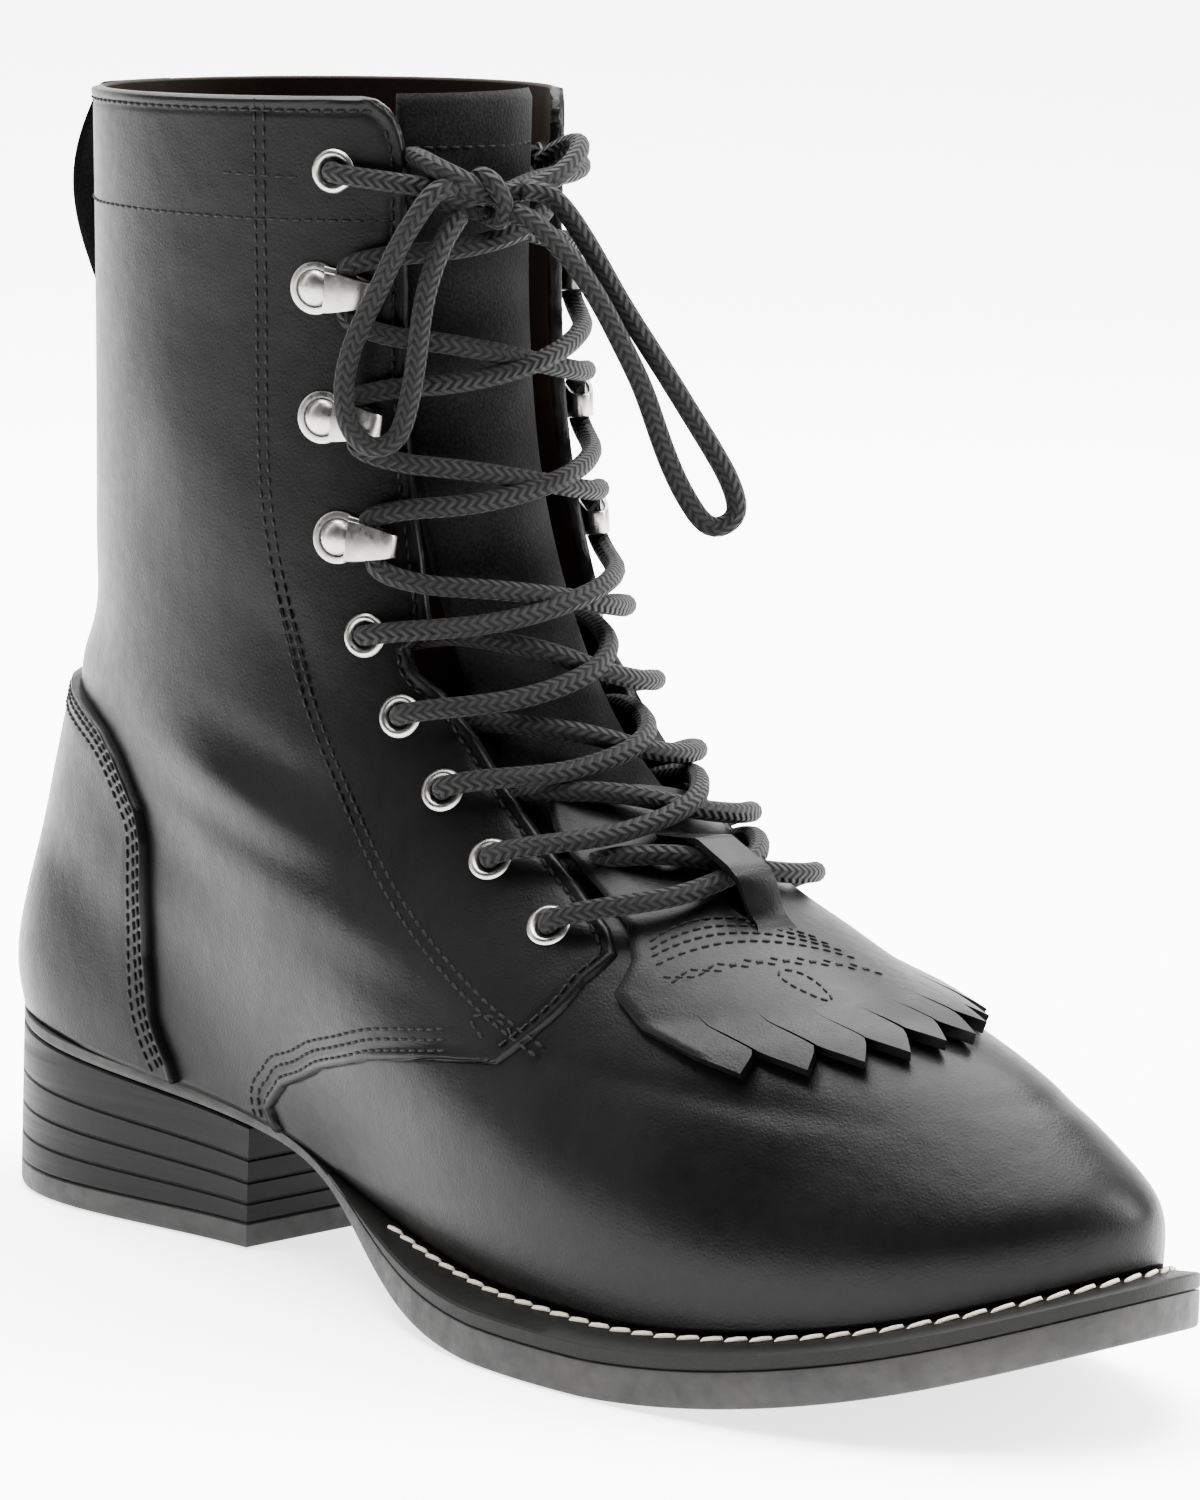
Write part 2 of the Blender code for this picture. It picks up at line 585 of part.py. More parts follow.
def upper(collection, cutters):
    """Vamp, quarters and shaft in one wall, with the quarters a step proud of the vamp."""
    table = np.array(QUARTER_EDGE)[:, 0]
    u = np.unique(np.concatenate([table, BETWEEN_ROWS]))
    edge = quarter_edge(u)
    back = np.linspace(0, 1, QUARTER_COLUMNS, endpoint=False)
    front = np.linspace(-1, 1, VAMP_COLUMNS)
    rows = []
    for place in edge:
        quarter = place + (1 - place) * back
        vamp = front * (place - SEAM_WIDTH)
        rows.append(np.concatenate([-quarter[::-1], vamp, quarter, [1.0]]))
    v = np.array(rows)
    grid_u = np.repeat(u[:, None], v.shape[1], axis=1)
    quarters = np.ones(v.shape[1], bool)
    quarters[QUARTER_COLUMNS:QUARTER_COLUMNS + VAMP_COLUMNS] = False
    outer = upper_point(grid_u, v, np.where(quarters, QUARTER_STEP, 0.0) + 0 * v)
    inner = upper_point(grid_u, v, -LINING_DEPTH + 0 * v)
    cells = np.ones((len(u) - 1, v.shape[1]), bool)
    throat = (u[:-1] > THROAT_END) | np.isclose(u[:-1], THROAT_END)
    cells[np.ix_(throat, np.arange(QUARTER_COLUMNS - 1, QUARTER_COLUMNS + VAMP_COLUMNS))] = False
    body = shell("upper", seated(outer, u), seated(inner, u), cells, "leather", collection)
    holes = eyelet_holes(cutters)
    cut = body.modifiers.new("eyelet holes", "BOOLEAN")
    cut.operation = "DIFFERENCE"
    cut.object = holes
    return body


def counter(collection):
    """The heel counter, laid over the quarters round the back."""
    table = np.array(COUNTER_EDGE)
    u, edge = table.T
    share = np.linspace(-1, 1, COUNTER_COLUMNS)
    v = 1 + share[None, :] * (1 - edge[:, None])
    grid_u = np.repeat(u[:, None], v.shape[1], axis=1)
    height = QUARTER_STEP + LAP_GAP
    inner = upper_point(grid_u, v, height + 0 * v)
    outer = upper_point(grid_u, v, height + COUNTER_THICKNESS + 0 * v)
    cells = np.ones((len(u) - 1, v.shape[1]), bool)
    cells[:, -1] = False
    return shell("counter", outer, inner, cells, "leather", collection)


def tongue(collection):
    """The tongue, from under the vamp up to the collar."""
    u = np.array(TONGUE_ROWS)
    sink = np.interp(u, TONGUE_SLOPE, (LINING_DEPTH + GAP, TONGUE_SINK))
    v = np.repeat(np.linspace(*TONGUE_EDGES, TONGUE_COLUMNS)[None, :], len(u), axis=0)
    grid_u = np.repeat(u[:, None], v.shape[1], axis=1)
    outer = upper_point(grid_u, v, -sink[:, None] + 0 * v)
    inner = upper_point(grid_u, v, -sink[:, None] - TONGUE_THICKNESS + 0 * v)
    cells = np.ones((len(u) - 1, v.shape[1]), bool)
    cells[:, -1] = False
    return shell("tongue", outer, inner, cells, "suede", collection)


def kiltie(collection):
    """The fringed false tongue over the throat's end, with the strap that holds the lowest crossing."""
    table = np.array(KILTIE_ROWS)
    rise = table[:, 4]
    columns = []
    for strip in range(STRIPS):
        left, right = -1 + 2 * strip / STRIPS, -1 + 2 * (strip + 1) / STRIPS
        columns += [(left, "edge"), ((left + right) / 2, "centre"), (right, "edge")]
    share = np.array([place for place, kind in columns])
    slit = np.tile([SLIT / 2, 0, -SLIT / 2], STRIPS)
    centre = np.array([kind == "centre" for place, kind in columns])
    u, v = kiltie_place(np.where(centre[None, :], table[:, :1], table[:, 1:2]), share, table[:, 2:3])
    v = v + slit
    height = np.repeat(table[:, 3:4], len(columns), axis=1)
    first = STRAP_FIRST * 3
    last = first + STRAP_STRIPS * 3
    height[:, first:last] += BRIDGE_RISE * rise[:, None]
    inner = upper_point(u, v, height)
    outer = upper_point(u, v, height + KILTIE_THICKNESS)
    cells = np.ones((len(table) - 1, len(columns)), bool)
    cells[:, -1] = False
    cells[:FRINGE_TOP, 2:-1:3] = False
    free = (rise[:-1] > 0) | (rise[1:] > 0)
    cells[np.ix_(free, [first - 1, last - 1])] = False
    return shell("kiltie", outer, inner, cells, "leather", collection)


def pull_loop(collection):
    """The strap loop at the back of the collar, bowed out between its two ends."""
    shares = np.linspace(0, 1, LOOP_POINTS)
    u = 1 - shares * LOOP_LENGTH / LOOP_RUN
    place = upper_point(u, np.ones_like(u), QUARTER_STEP + GAP + 0 * u)
    bulge = LOOP_BULGE * np.sin(math.pi * shares)
    line = [(x - out, z - LOOP_DROP) for (x, y, z), out in zip(place, bulge)]
    outline = line + [(x - LOOP_THICKNESS, z) for x, z in line[::-1]]
    extruded("pull_loop", outline, LOOP_WIDTH, Matrix.Identity(4), "suede", collection)


def curve_to_mesh(name, data, place, look, collection):
    """A curve as a closed mesh object at a place."""
    guide = bpy.data.objects.new(name + " guide", data)
    bpy.context.scene.collection.objects.link(guide)
    bpy.context.view_layer.update()
    mesh = bpy.data.meshes.new_from_object(guide.evaluated_get(bpy.context.evaluated_depsgraph_get()))
    bpy.data.objects.remove(guide)
    bm = bmesh.new()
    bm.from_mesh(mesh)
    bmesh.ops.remove_doubles(bm, verts=bm.verts, dist=0.00001)
    bmesh.ops.triangulate(bm, faces=bm.faces)
    bmesh.ops.recalc_face_normals(bm, faces=bm.faces)
    bm.to_mesh(mesh)
    bm.free()
    mesh.name = name
    smooth(mesh)
    obj = new_object(name, mesh, look, collection)
    obj.matrix_world = place
    return obj


# Hardware

def hardware_frame(u, v, height):
    """A frame on the upper: Z out of the surface, X toward the throat."""
    origin = Vector(upper_point(u, v, height))
    out = Vector(normals(u, v))
    step = 0.01
    front = Vector(base_surface(u, v * (1 - step)) - base_surface(u, v))
    front = (front - out * front.dot(out)).normalized()
    side = out.cross(front)
    frame = Matrix((front, side, out)).transposed().to_4x4()
    frame.translation = origin
    return frame


def turned(name, profile, steps):
    """A closed profile (radius, height) turned about Z, as a mesh."""
    mesh = bpy.data.meshes.new(name)
    count = len(profile)
    mesh.from_pydata([(r, 0, z) for r, z in profile], [(i, (i + 1) % count) for i in range(count)], [])
    spin = bpy.data.objects.new(name + " profile", mesh)
    bpy.context.scene.collection.objects.link(spin)
    screw = spin.modifiers.new("turn", "SCREW")
    screw.steps = screw.render_steps = steps
    screw.use_merge_vertices = True
    screw.merge_threshold = 0.00001
    bpy.context.view_layer.update()
    made = bpy.data.meshes.new_from_object(spin.evaluated_get(bpy.context.evaluated_depsgraph_get()))
    bpy.data.objects.remove(spin)
    bm = bmesh.new()
    bm.from_mesh(made)
    bmesh.ops.remove_doubles(bm, verts=bm.verts, dist=0.00001)
    bmesh.ops.triangulate(bm, faces=bm.faces)
    bmesh.ops.recalc_face_normals(bm, faces=bm.faces)
    bm.to_mesh(made)
    bm.free()
    smooth(made)
    return made


def eyelet_places():
    return LOWER_EYELETS + [TOP_EYELET]


def eyelet_holes(cutters):
    """Cutters through the wall for all eyelets, as one object."""
    bm = bmesh.new()
    reach = EYELET_LENGTH + LINING_DEPTH
    radius = (EYELET_BARREL + GAP) / math.cos(math.pi / HOLE_SIDES)
    for u, v in eyelet_places():
        for side in (-1, 1):
            place = hardware_frame(u, side * v, QUARTER_STEP) @ Matrix.Rotation(HOLE_TURN, 4, "Z")
            bmesh.ops.create_cone(bm, cap_ends=True, segments=HOLE_SIDES, radius1=radius, radius2=radius,
                                  depth=2 * reach, matrix=place)
    mesh = bpy.data.meshes.new("eyelet holes")
    bm.to_mesh(mesh)
    bm.free()
    cutter = new_object("eyelet holes", mesh, None, cutters)
    cutter.hide_render = True
    cutter.display_type = "WIRE"
    return cutter


def eyelets(collection):
    profile = [(EYELET_BORE, -EYELET_LENGTH), (EYELET_BARREL, -EYELET_LENGTH), (EYELET_BARREL, 0),
               (EYELET_RADIUS, 0), (EYELET_BORE, FLANGE)]
    mesh = turned("eyelet", profile, EYELET_SIDES)
    mesh.materials.append(material("nickel"))
    for side, sign in SIDES:
        for number, (u, v) in enumerate(eyelet_places(), 1):
            eyelet = new_object(f"eyelet_{side}_{number}", mesh, None, collection)
            eyelet.matrix_world = hardware_frame(u, sign * v, QUARTER_STEP + GAP)


def hooks(collection, cutters):
    """Speed hooks: a riveted base plate whose strip folds back over itself toward the rivet."""
    disc = turned("hook base", [(0, 0), (HOOK_BASE_RADIUS, 0), (HOOK_BASE_RADIUS, HOOK_GAUGE),
                                (RIVET_RADIUS, HOOK_GAUGE), (RIVET_RADIUS * 0.8, RIVET_HEIGHT * 0.8),
                                (0, RIVET_HEIGHT)], EYELET_SIDES)
    strip = [(x * HOOK_REACH, mouth * HOOK_MOUTH + gauge * HOOK_GAUGE) for x, mouth, gauge in HOOK_FOLD]
    for side, sign in SIDES:
        for number, (u, v) in enumerate(HOOKS, 1):
            name = f"hook_{side}_{number}"
            place = hardware_frame(u, sign * v, QUARTER_STEP + GAP)
            hook = new_object(name, disc.copy(), "nickel", collection)
            hook.matrix_world = place
            claw = extruded(name + " claw", strip, HOOK_WIDTH, place, None, cutters)
            join(hook, claw)


def join(target, other):
    """Fuse another closed object into the target, and hide it."""
    other.hide_render = True
    other.display_type = "WIRE"
    fuse = target.modifiers.new("join", "BOOLEAN")
    fuse.operation = "UNION"
    fuse.object = other


def extruded(name, outline, width, place, look, collection):
    """A flat outline of points (x, z), drawn out to both sides along Y."""
    data = bpy.data.curves.new(name, "CURVE")
    data.dimensions = "2D"
    data.fill_mode = "BOTH"
    data.extrude = width / 2
    path = data.splines.new("POLY")
    path.points.add(len(outline) - 1)
    for point, (x, z) in zip(path.points, outline):
        point.co = (x, z, 0, 1)
    path.use_cyclic_u = True
    return curve_to_mesh(name, data, place @ Matrix.Rotation(math.pi / 2, 4, "X"), look, collection)


# Laces

def tube(name, route, collection, look="lace"):
    """A lace along a smooth curve through its route's points, as a closed mesh."""
    route = np.array(route)
    lengths = np.concatenate([[0], np.cumsum(np.linalg.norm(np.diff(route, axis=0), axis=1))])
    count = max(3, round(lengths[-1] / (LACE_STRIDE * LACE_DIAMETER)))
    line = spline(lengths, route, np.linspace(0, lengths[-1], count + 1))
    data = bpy.data.curves.new(name, "CURVE")
    data.dimensions = "3D"
    data.bevel_depth = LACE_DIAMETER / 2
    data.bevel_resolution = 2
    data.use_fill_caps = True
    path = data.splines.new("POLY")
    path.points.add(len(line) - 1)
    for point, place in zip(path.points, line):
        point.co = (*place, 1)
    return curve_to_mesh(name, data, Matrix.Identity(4), look, collection)


def strand(row, sign, lift):
    """Points of one strand of a crossing, leaving on the side named by sign."""
    u0, v0, h0, edge0, um, hm, edge1, u1, v1, h1 = row
    route = [(u0, sign * v0, h0), ((u0 * 2 + um) / 3, sign * 0.6 * v0, edge0), (um, 0, hm + lift),
             ((u1 * 2 + um) / 3, -sign * 0.6 * v1, edge1), (u1, -sign * v1, h1)]
    return [upper_point(u, v, h) for u, v, h in route]


def crossings(collection, cutters):
    for number, row in enumerate(CROSSINGS, 1):
        name = f"lace_crossing_{number}"
        under = tube(name, strand(row, 1, -CROSS_STEP), collection)
        over = tube(name + " over", strand(row, -1, CROSS_STEP), cutters, None)
        join(under, over)


def bow(collection):
    """The knot and its two loops."""
    centre = Vector(upper_point(*KNOT))
    bm = bmesh.new()
    bmesh.ops.create_uvsphere(bm, u_segments=12, v_segments=8, radius=KNOT_RADIUS,
                              matrix=Matrix.Translation(centre) @ Matrix.Diagonal((1, 1, 0.85, 1)))
    mesh = bpy.data.meshes.new("lace_knot")
    bm.to_mesh(mesh)
    bm.free()
    smooth(mesh)
    new_object("lace_knot", mesh, "lace", collection)
    tube("lace_loop_left", [upper_point(*place) for place in LEFT_LOOP], collection)
    tube("lace_loop_right", right_loop(), collection)


def main():
    for obj in list(bpy.data.objects):
        bpy.data.objects.remove(obj)
    boot = bpy.data.collections.new("lace_up_boot")
    cutters = bpy.data.collections.new("cutters")
    for collection in (boot, cutters):
        bpy.context.scene.collection.children.link(collection)
    outsole(boot)
    welt(boot)
    heel_stack(boot)
    heel_top_lift(boot)
    insole(boot)
    upper(boot, cutters)
    counter(boot)
    tongue(boot)
    kiltie(boot)
    pull_loop(boot)
    eyelets(boot)
    hooks(boot, cutters)
    crossings(boot, cutters)
    bow(boot)


main()
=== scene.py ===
"""The lace-up boot dressed for its photograph: panels, stitching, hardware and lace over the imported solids.

Places on the upper are named by u, from 0 at the sole to 1 at the collar, and v, from 0 at the front to 1 at
the back, negative on the outer side. A height is measured square to the upper's surface. All is in metres.
"""
import math

import bpy
import numpy as np
from mathutils import Matrix, Vector


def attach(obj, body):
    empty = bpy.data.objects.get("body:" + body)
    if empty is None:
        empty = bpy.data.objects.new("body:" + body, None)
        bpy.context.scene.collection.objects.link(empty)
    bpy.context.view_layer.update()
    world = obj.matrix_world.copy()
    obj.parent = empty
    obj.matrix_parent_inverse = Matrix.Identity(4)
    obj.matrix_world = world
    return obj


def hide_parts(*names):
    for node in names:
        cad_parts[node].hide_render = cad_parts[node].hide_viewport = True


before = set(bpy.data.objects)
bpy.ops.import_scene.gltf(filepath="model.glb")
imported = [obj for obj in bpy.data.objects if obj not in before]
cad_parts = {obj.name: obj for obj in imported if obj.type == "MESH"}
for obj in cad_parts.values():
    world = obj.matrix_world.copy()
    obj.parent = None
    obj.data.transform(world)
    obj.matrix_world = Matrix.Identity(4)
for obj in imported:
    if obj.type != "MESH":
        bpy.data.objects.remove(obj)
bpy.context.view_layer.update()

# Sole and heel
SOLE_LENGTH = 0.306
BALL_WIDTH = 0.108
HEEL_WIDTH = 0.064
HEEL_LENGTH = 0.087
SEAT_HEIGHT = 0.0372      # floor to the outsole's underside at the back
TOE_SPRING = 0.0215
TOE_SWING = 0.007         # how far the toe bends to the inner side
OUTSOLE_THICKNESS = 0.0076
SOLE_CHAMFER = 0.0012
WELT_THICKNESS = 0.0034
WELT_RISE = 0.0021        # slope of the welt up to the upper
WELT_INSET = 0.004        # how far it reaches under the upper
WELT_CLEARANCE = 0.0006   # from the foot of its slope to the upper
TOP_LIFT = 0.0055

# Upper
UPPER_HEIGHT = 0.196      # heel seat to collar at the back
SHAFT_WIDTH = 0.078
LINING_DEPTH = 0.0018     # inner face under the vamp's outer face
QUARTER_STEP = 0.0009     # how far the quarters stand over the vamp
COUNTER_THICKNESS = 0.0014
TONGUE_THICKNESS = 0.002
TONGUE_SINK = 0.0050
KILTIE_THICKNESS = 0.0018
BRIDGE_RISE = 0.0084
LOOP_WIDTH = 0.022
LOOP_THICKNESS = 0.0018
LOOP_BULGE = 0.0085
LOOP_LENGTH = 0.050
LOOP_RUN = 0.256          # length of the shaft's back that u of 1 would span
LOOP_DROP = 0.0012        # from the collar down to the loop

# Lacing
LACE_DIAMETER = 0.0042
EYELET_RADIUS = 0.0045
EYELET_BORE = 0.0024
EYELET_LENGTH = 0.0033
HOOK_BASE_RADIUS = 0.0058
HOOK_GAUGE = 0.0010
RIVET_RADIUS = 0.0033

GAP = 0.0003              # between pieces that meet
LAP_GAP = 0.0007          # under the counter, whose facets follow the quarters'

# Sole along its length: share of SOLE_LENGTH, then shares of SEAT_HEIGHT and TOE_SPRING that lift the
# underside, share of OUTSOLE_THICKNESS and share of the welt
SOLE_ROWS = np.array([
    # length, seat, spring, outsole, welt
    (0.000, 1.000, 0.00, 0.38, 0.00),
    (0.147, 0.852, 0.00, 0.38, 0.00),
    (0.284, 0.705, 0.00, 0.38, 0.00),
    (0.340, 0.615, 0.00, 0.33, 0.00),
    (0.380, 0.500, 0.00, 0.36, 0.10),
    (0.440, 0.270, 0.00, 0.68, 0.50),
    (0.500, 0.105, 0.00, 0.92, 0.80),
    (0.560, 0.020, 0.00, 1.00, 0.95),
    (0.637, -0.008, 0.00, 1.00, 1.00),
    (0.720, 0.000, 0.02, 1.00, 1.00),
    (0.817, 0.000, 0.20, 1.00, 1.00),
    (0.915, 0.000, 0.55, 1.00, 1.00),
    (1.000, 0.000, 1.00, 1.00, 1.00),
])

# Half widths of an outline are given at these shares of its length, from the back. The first four are percent
# of half HEEL_WIDTH and the others percent of half BALL_WIDTH; above the ankle all are of half SHAFT_WIDTH.
# A value is the width of the ellipse that would pass through that point.
WIDTH_SHARES = [0, 0.06, 0.16, 0.36, 0.52, 0.70, 0.86, 0.95, 1.0]
SOLE_OUTER = [219, 194, 140, 100, 93, 115, 125, 131, 133]
SOLE_INNER = [219, 194, 138, 94, 64, 100, 115, 121, 126]

# Loops round the last from the feather line to the collar
FOOT_LOOPS = [
    # front: share of length, rise; back: the same; sag; outer widths; inner widths
    (0.980, 0.000, 0.010, 0.000, 1.00, [212, 175, 131, 97, 76, 98, 109, 115, 115],
     [212, 175, 128, 88, 57, 91, 102, 98, 102]),
    (0.979, 0.060, 0.000, 0.049, 0.92, [206, 175, 134, 109, 83, 104, 113, 117, 115],
     [206, 175, 131, 100, 70, 94, 100, 94, 98]),
    (0.951, 0.122, 0.003, 0.111, 0.70, [191, 166, 131, 119, 87, 104, 107, 107, 104],
     [191, 166, 128, 112, 78, 94, 94, 89, 89]),
    (0.880, 0.225, 0.010, 0.173, 0.45, [169, 147, 128, 125, 85, 93, 91, 87, 85],
     [169, 147, 125, 119, 81, 91, 85, 80, 78]),
    (0.768, 0.317, 0.020, 0.242, 0.25, [150, 138, 122, 125, 81, 85, 81, 78, 76],
     [150, 138, 122, 122, 80, 85, 81, 78, 76]),
]
SHAFT_LOOPS = [
    # front: share of length, rise; back: the same; sag; widths
    (0.641, 0.406, 0.033, 0.331, 0.10, [108, 103, 97, 102, 105, 105, 103, 97, 95]),
    (0.533, 0.518, 0.049, 0.452, 0.00, [97, 95, 95, 97, 97, 97, 95, 92, 90]),
    (0.461, 0.677, 0.056, 0.611, 0.00, [95, 95, 95, 97, 97, 97, 95, 92, 92]),
    (0.425, 0.882, 0.056, 0.810, 0.00, [97, 97, 97, 97, 97, 97, 97, 97, 97]),
    (0.418, 1.143, 0.052, 1.011, 0.00, [100, 100, 100, 100, 100, 100, 100, 100, 100]),
]

# Front edge of the quarters: the seam over the vamp, the corner, the lacing edge with its notch, and the
# collar corner
QUARTER_EDGE = [
    # u, v
    (0.000, 0.617), (0.018, 0.620), (0.050, 0.600), (0.092, 0.555), (0.129, 0.500), (0.154, 0.445),
    (0.166, 0.397), (0.220, 0.340), (0.271, 0.287), (0.305, 0.240), (0.333, 0.223), (0.375, 0.215),
    (0.442, 0.215), (0.508, 0.220), (0.545, 0.238), (0.560, 0.262), (0.578, 0.262), (0.595, 0.225),
    (0.654, 0.210), (0.742, 0.198), (0.854, 0.185), (0.940, 0.185), (0.960, 0.187), (0.973, 0.192),
    (0.984, 0.201), (0.992, 0.214), (0.998, 0.232), (1.000, 0.250),
]

WELT_REACH = 0.58         # v where the welt ends at the waist
GROOVE_SHARES = [0.20, 0.42, 0.655]      # grooves between the heel's lifts, in shares of its height

# Front edge of the heel counter
COUNTER_EDGE = [
    # u, v
    (0.020, 0.690), (0.054, 0.698), (0.104, 0.701), (0.160, 0.694), (0.204, 0.688), (0.260, 0.681),
    (0.308, 0.680), (0.345, 0.692), (0.371, 0.705), (0.395, 0.730), (0.410, 0.775), (0.421, 0.860),
    (0.425, 0.930),
]

# Tongue: its foot in u, its two edges in v, and the u over which it sinks from the vamp to its full depth
TONGUE_FOOT = 0.285
TONGUE_EDGES = (-0.205, 0.150)
TONGUE_SLOPE = (0.32, 0.52)

# Hardware on each lacing edge, from the toe up: u, v
LOWER_EYELETS = [(0.329, 0.277), (0.392, 0.285), (0.454, 0.292), (0.517, 0.302), (0.583, 0.310)]
TOP_EYELET = (0.946, 0.285)
HOOKS = [(0.662, 0.312), (0.758, 0.310), (0.858, 0.310)]
SIDES = [("lateral", -1), ("medial", 1)]

STRIPS = 10               # strips of the kiltie's fringe
KILTIE_ROWS = np.array([
    # u, half width in v, height over the vamp
    (0.214, 0.228, 0.0006), (0.244, 0.246, 0.0003), (0.272, 0.242, 0.0003), (0.302, 0.200, 0.0003),
    (0.331, 0.174, 0.0002), (0.350, 0.169, 0.0000), (0.372, 0.166, -0.0003), (0.393, 0.166, -0.0006),
    (0.412, 0.165, -0.0008), (0.430, 0.163, -0.0009), (0.474, 0.135, -0.0010),
])
KILTIE_CENTRE = -0.035    # v of its middle: it sits a little to the outer side
STRAP_FIRST = 3           # first strip that the strap over the lowest crossing goes on from
STRAP_STRIPS = 3          # strips that it goes on from
STRAP_SIDES = (-0.22, 0.09)              # shares of the half width
STRAP_ROWS = (0.302, 0.331)              # u over which the columns close in to the strap's sides
FRINGE_SLANT = 0.10       # u that the fringe gains for each v to the inner side
SLANT_ROWS = (0.244, 0.331)              # u over which the slant fades away

# Laces cross from each piece of hardware to the next one above on the other side. A strand leaves over its
# own lacing edge and arrives under the other edge, or at a hook beside it.
CROSSINGS = [
    # leave u, v, height; height over the edge; middle u, height; height before the far edge;
    # arrive u, v, height
    (0.339, 0.236, 0.0042, 0.0056, 0.380, 0.0048, 0.0048, 0.400, 0.125, 0.0044),
    (0.402, 0.240, 0.0042, 0.0056, 0.440, 0.0048, 0.0042, 0.462, 0.125, 0.0038),
    (0.464, 0.246, 0.0040, 0.0044, 0.500, 0.0034, 0.0020, 0.524, 0.130, 0.0006),
    (0.527, 0.252, 0.0040, 0.0044, 0.566, 0.0034, 0.0020, 0.592, 0.130, 0.0002),
    (0.592, 0.258, 0.0040, 0.0048, 0.618, 0.0054, 0.0054, 0.6345, 0.262, 0.0046),
    (0.6868, 0.262, 0.0046, 0.0056, 0.711, 0.0056, 0.0054, 0.7332, 0.262, 0.0046),
    (0.7828, 0.262, 0.0046, 0.0056, 0.808, 0.0056, 0.0054, 0.8332, 0.262, 0.0046),
    (0.8828, 0.262, 0.0035, 0.0038, 0.906, 0.0022, 0.0012, 0.926, 0.130, 0.0000),
]
CROSS_STEP = 0.0006       # how far each strand lies over or under the middle

# The bow: u, v, height
KNOT = (0.9325, -0.084, 0.0077)
LEFT_LOOP = [
    (0.940, -0.131, 0.0090), (0.937, -0.150, 0.0106), (0.922, -0.171, 0.0116), (0.897, -0.194, 0.0118),
    (0.866, -0.216, 0.0118), (0.835, -0.239, 0.0118), (0.802, -0.257, 0.0120), (0.775, -0.263, 0.0120),
    (0.751, -0.257, 0.0118), (0.740, -0.238, 0.0118), (0.746, -0.215, 0.0116), (0.767, -0.197, 0.0116),
    (0.793, -0.185, 0.0118), (0.826, -0.175, 0.0120), (0.859, -0.166, 0.0120), (0.883, -0.155, 0.0118),
    (0.905, -0.139, 0.0106), (0.918, -0.122, 0.0086),
]
RIGHT_TURN = math.radians(44.5)           # from the toe's direction to the plane that the other loop hangs in
RIGHT_LOOP = [
    # shares of SOLE_LENGTH from the knot's centre: away in its plane, out of that plane, up
    (0.022, -0.003, 0.004), (0.039, -0.008, 0.001), (0.056, -0.008, -0.015), (0.072, -0.008, -0.039),
    (0.087, -0.008, -0.064), (0.103, -0.006, -0.088), (0.121, -0.003, -0.114), (0.139, -0.001, -0.141),
    (0.156, 0.000, -0.167), (0.168, 0.000, -0.190), (0.169, 0.000, -0.207), (0.157, 0.001, -0.214),
    (0.141, 0.001, -0.201), (0.127, 0.002, -0.176), (0.116, 0.003, -0.149), (0.106, 0.006, -0.123),
    (0.093, 0.008, -0.097), (0.078, 0.008, -0.070), (0.060, 0.008, -0.044), (0.042, 0.008, -0.025),
    (0.027, 0.006, -0.0135), (0.0185, 0.003, -0.0105),
]

# Details
MM_PER_PLACE = (256, 125)  # about how far u and v of 1 reach over the upper
STITCH = 0.0021
STITCH_GAP = 0.0006
THREAD = 0.00034
WELT_STITCH = 0.0050
WELT_THREAD = 0.00055
WELT_STITCH_OUT = 0.0012  # from the foot of the welt's slope
EDGE_STITCH = 0.0029      # from the lacing edge to its row
COLLAR_ROW = 0.9895       # u of the row round the collar
COLLAR_FRONT = 0.232      # v where it starts
FRINGE_FOOT = 0.214       # u where the notches between the kiltie's tips end
FRINGE_TIP = 0.020        # u from there to a tip
FRINGE_TOP = 0.250        # u where the fringe starts to thicken and curl
FRINGE_SWELL = 0.0008     # how much thicker the kiltie's cut edge looks than its middle
SLIT_HALF = 0.0013        # half width of a slit, in v
KILTIE_MIDDLE = 0.260     # u where its fine rows end
KILTIE_TOP = 0.474
STRIP_COLUMNS = 9         # columns of each strip
EDGE_DROP = 0.0011        # how deep a panel's turned edge ends under the vamp's face
EYESTAY_ROW = 0.0011      # from the middle of the double row to each of its rows
TONGUE_ROW = 0.962        # u of the row across the tongue
VAMP_SINK = 0.0004        # how far the vamp drops under the quarters
VAMP_SINK_RUN = 0.012     # v over which it drops
SEAM_ROWS = [0.0022, 0.0045, 0.0068]
COUNTER_ROWS = [0.0018, 0.0034, 0.0056]
HOOK_GRIP = 0.052         # v from a hook's rivet to the lace that it holds

# Columns near the edges of the quarters, as shares of the way to the back
EDGE_SHARES = np.array([
    0, 0.0008, 0.0019, 0.0033, 0.0050, 0.0070, 0.0095, 0.0125, 0.016, 0.020, 0.025, 0.031, 0.038, 0.047,
    0.059,
])

# One stitch: place along it in lengths, radius and rise in radii of the thread
STITCH_RINGS = np.array([
    (-0.5, 0.35, -0.9), (-0.38, 0.85, 0.0), (0.0, 1.0, 0.15), (0.38, 0.85, 0.0), (0.5, 0.35, -0.9),
])

# Rise of the kiltie's strap over the crossing: u, share of BRIDGE_RISE
STRAP_RISE = [(0.325, 0), (0.338, 0.20), (0.352, 0.86), (0.364, 1), (0.394, 1), (0.410, 0.55), (0.428, 0)]

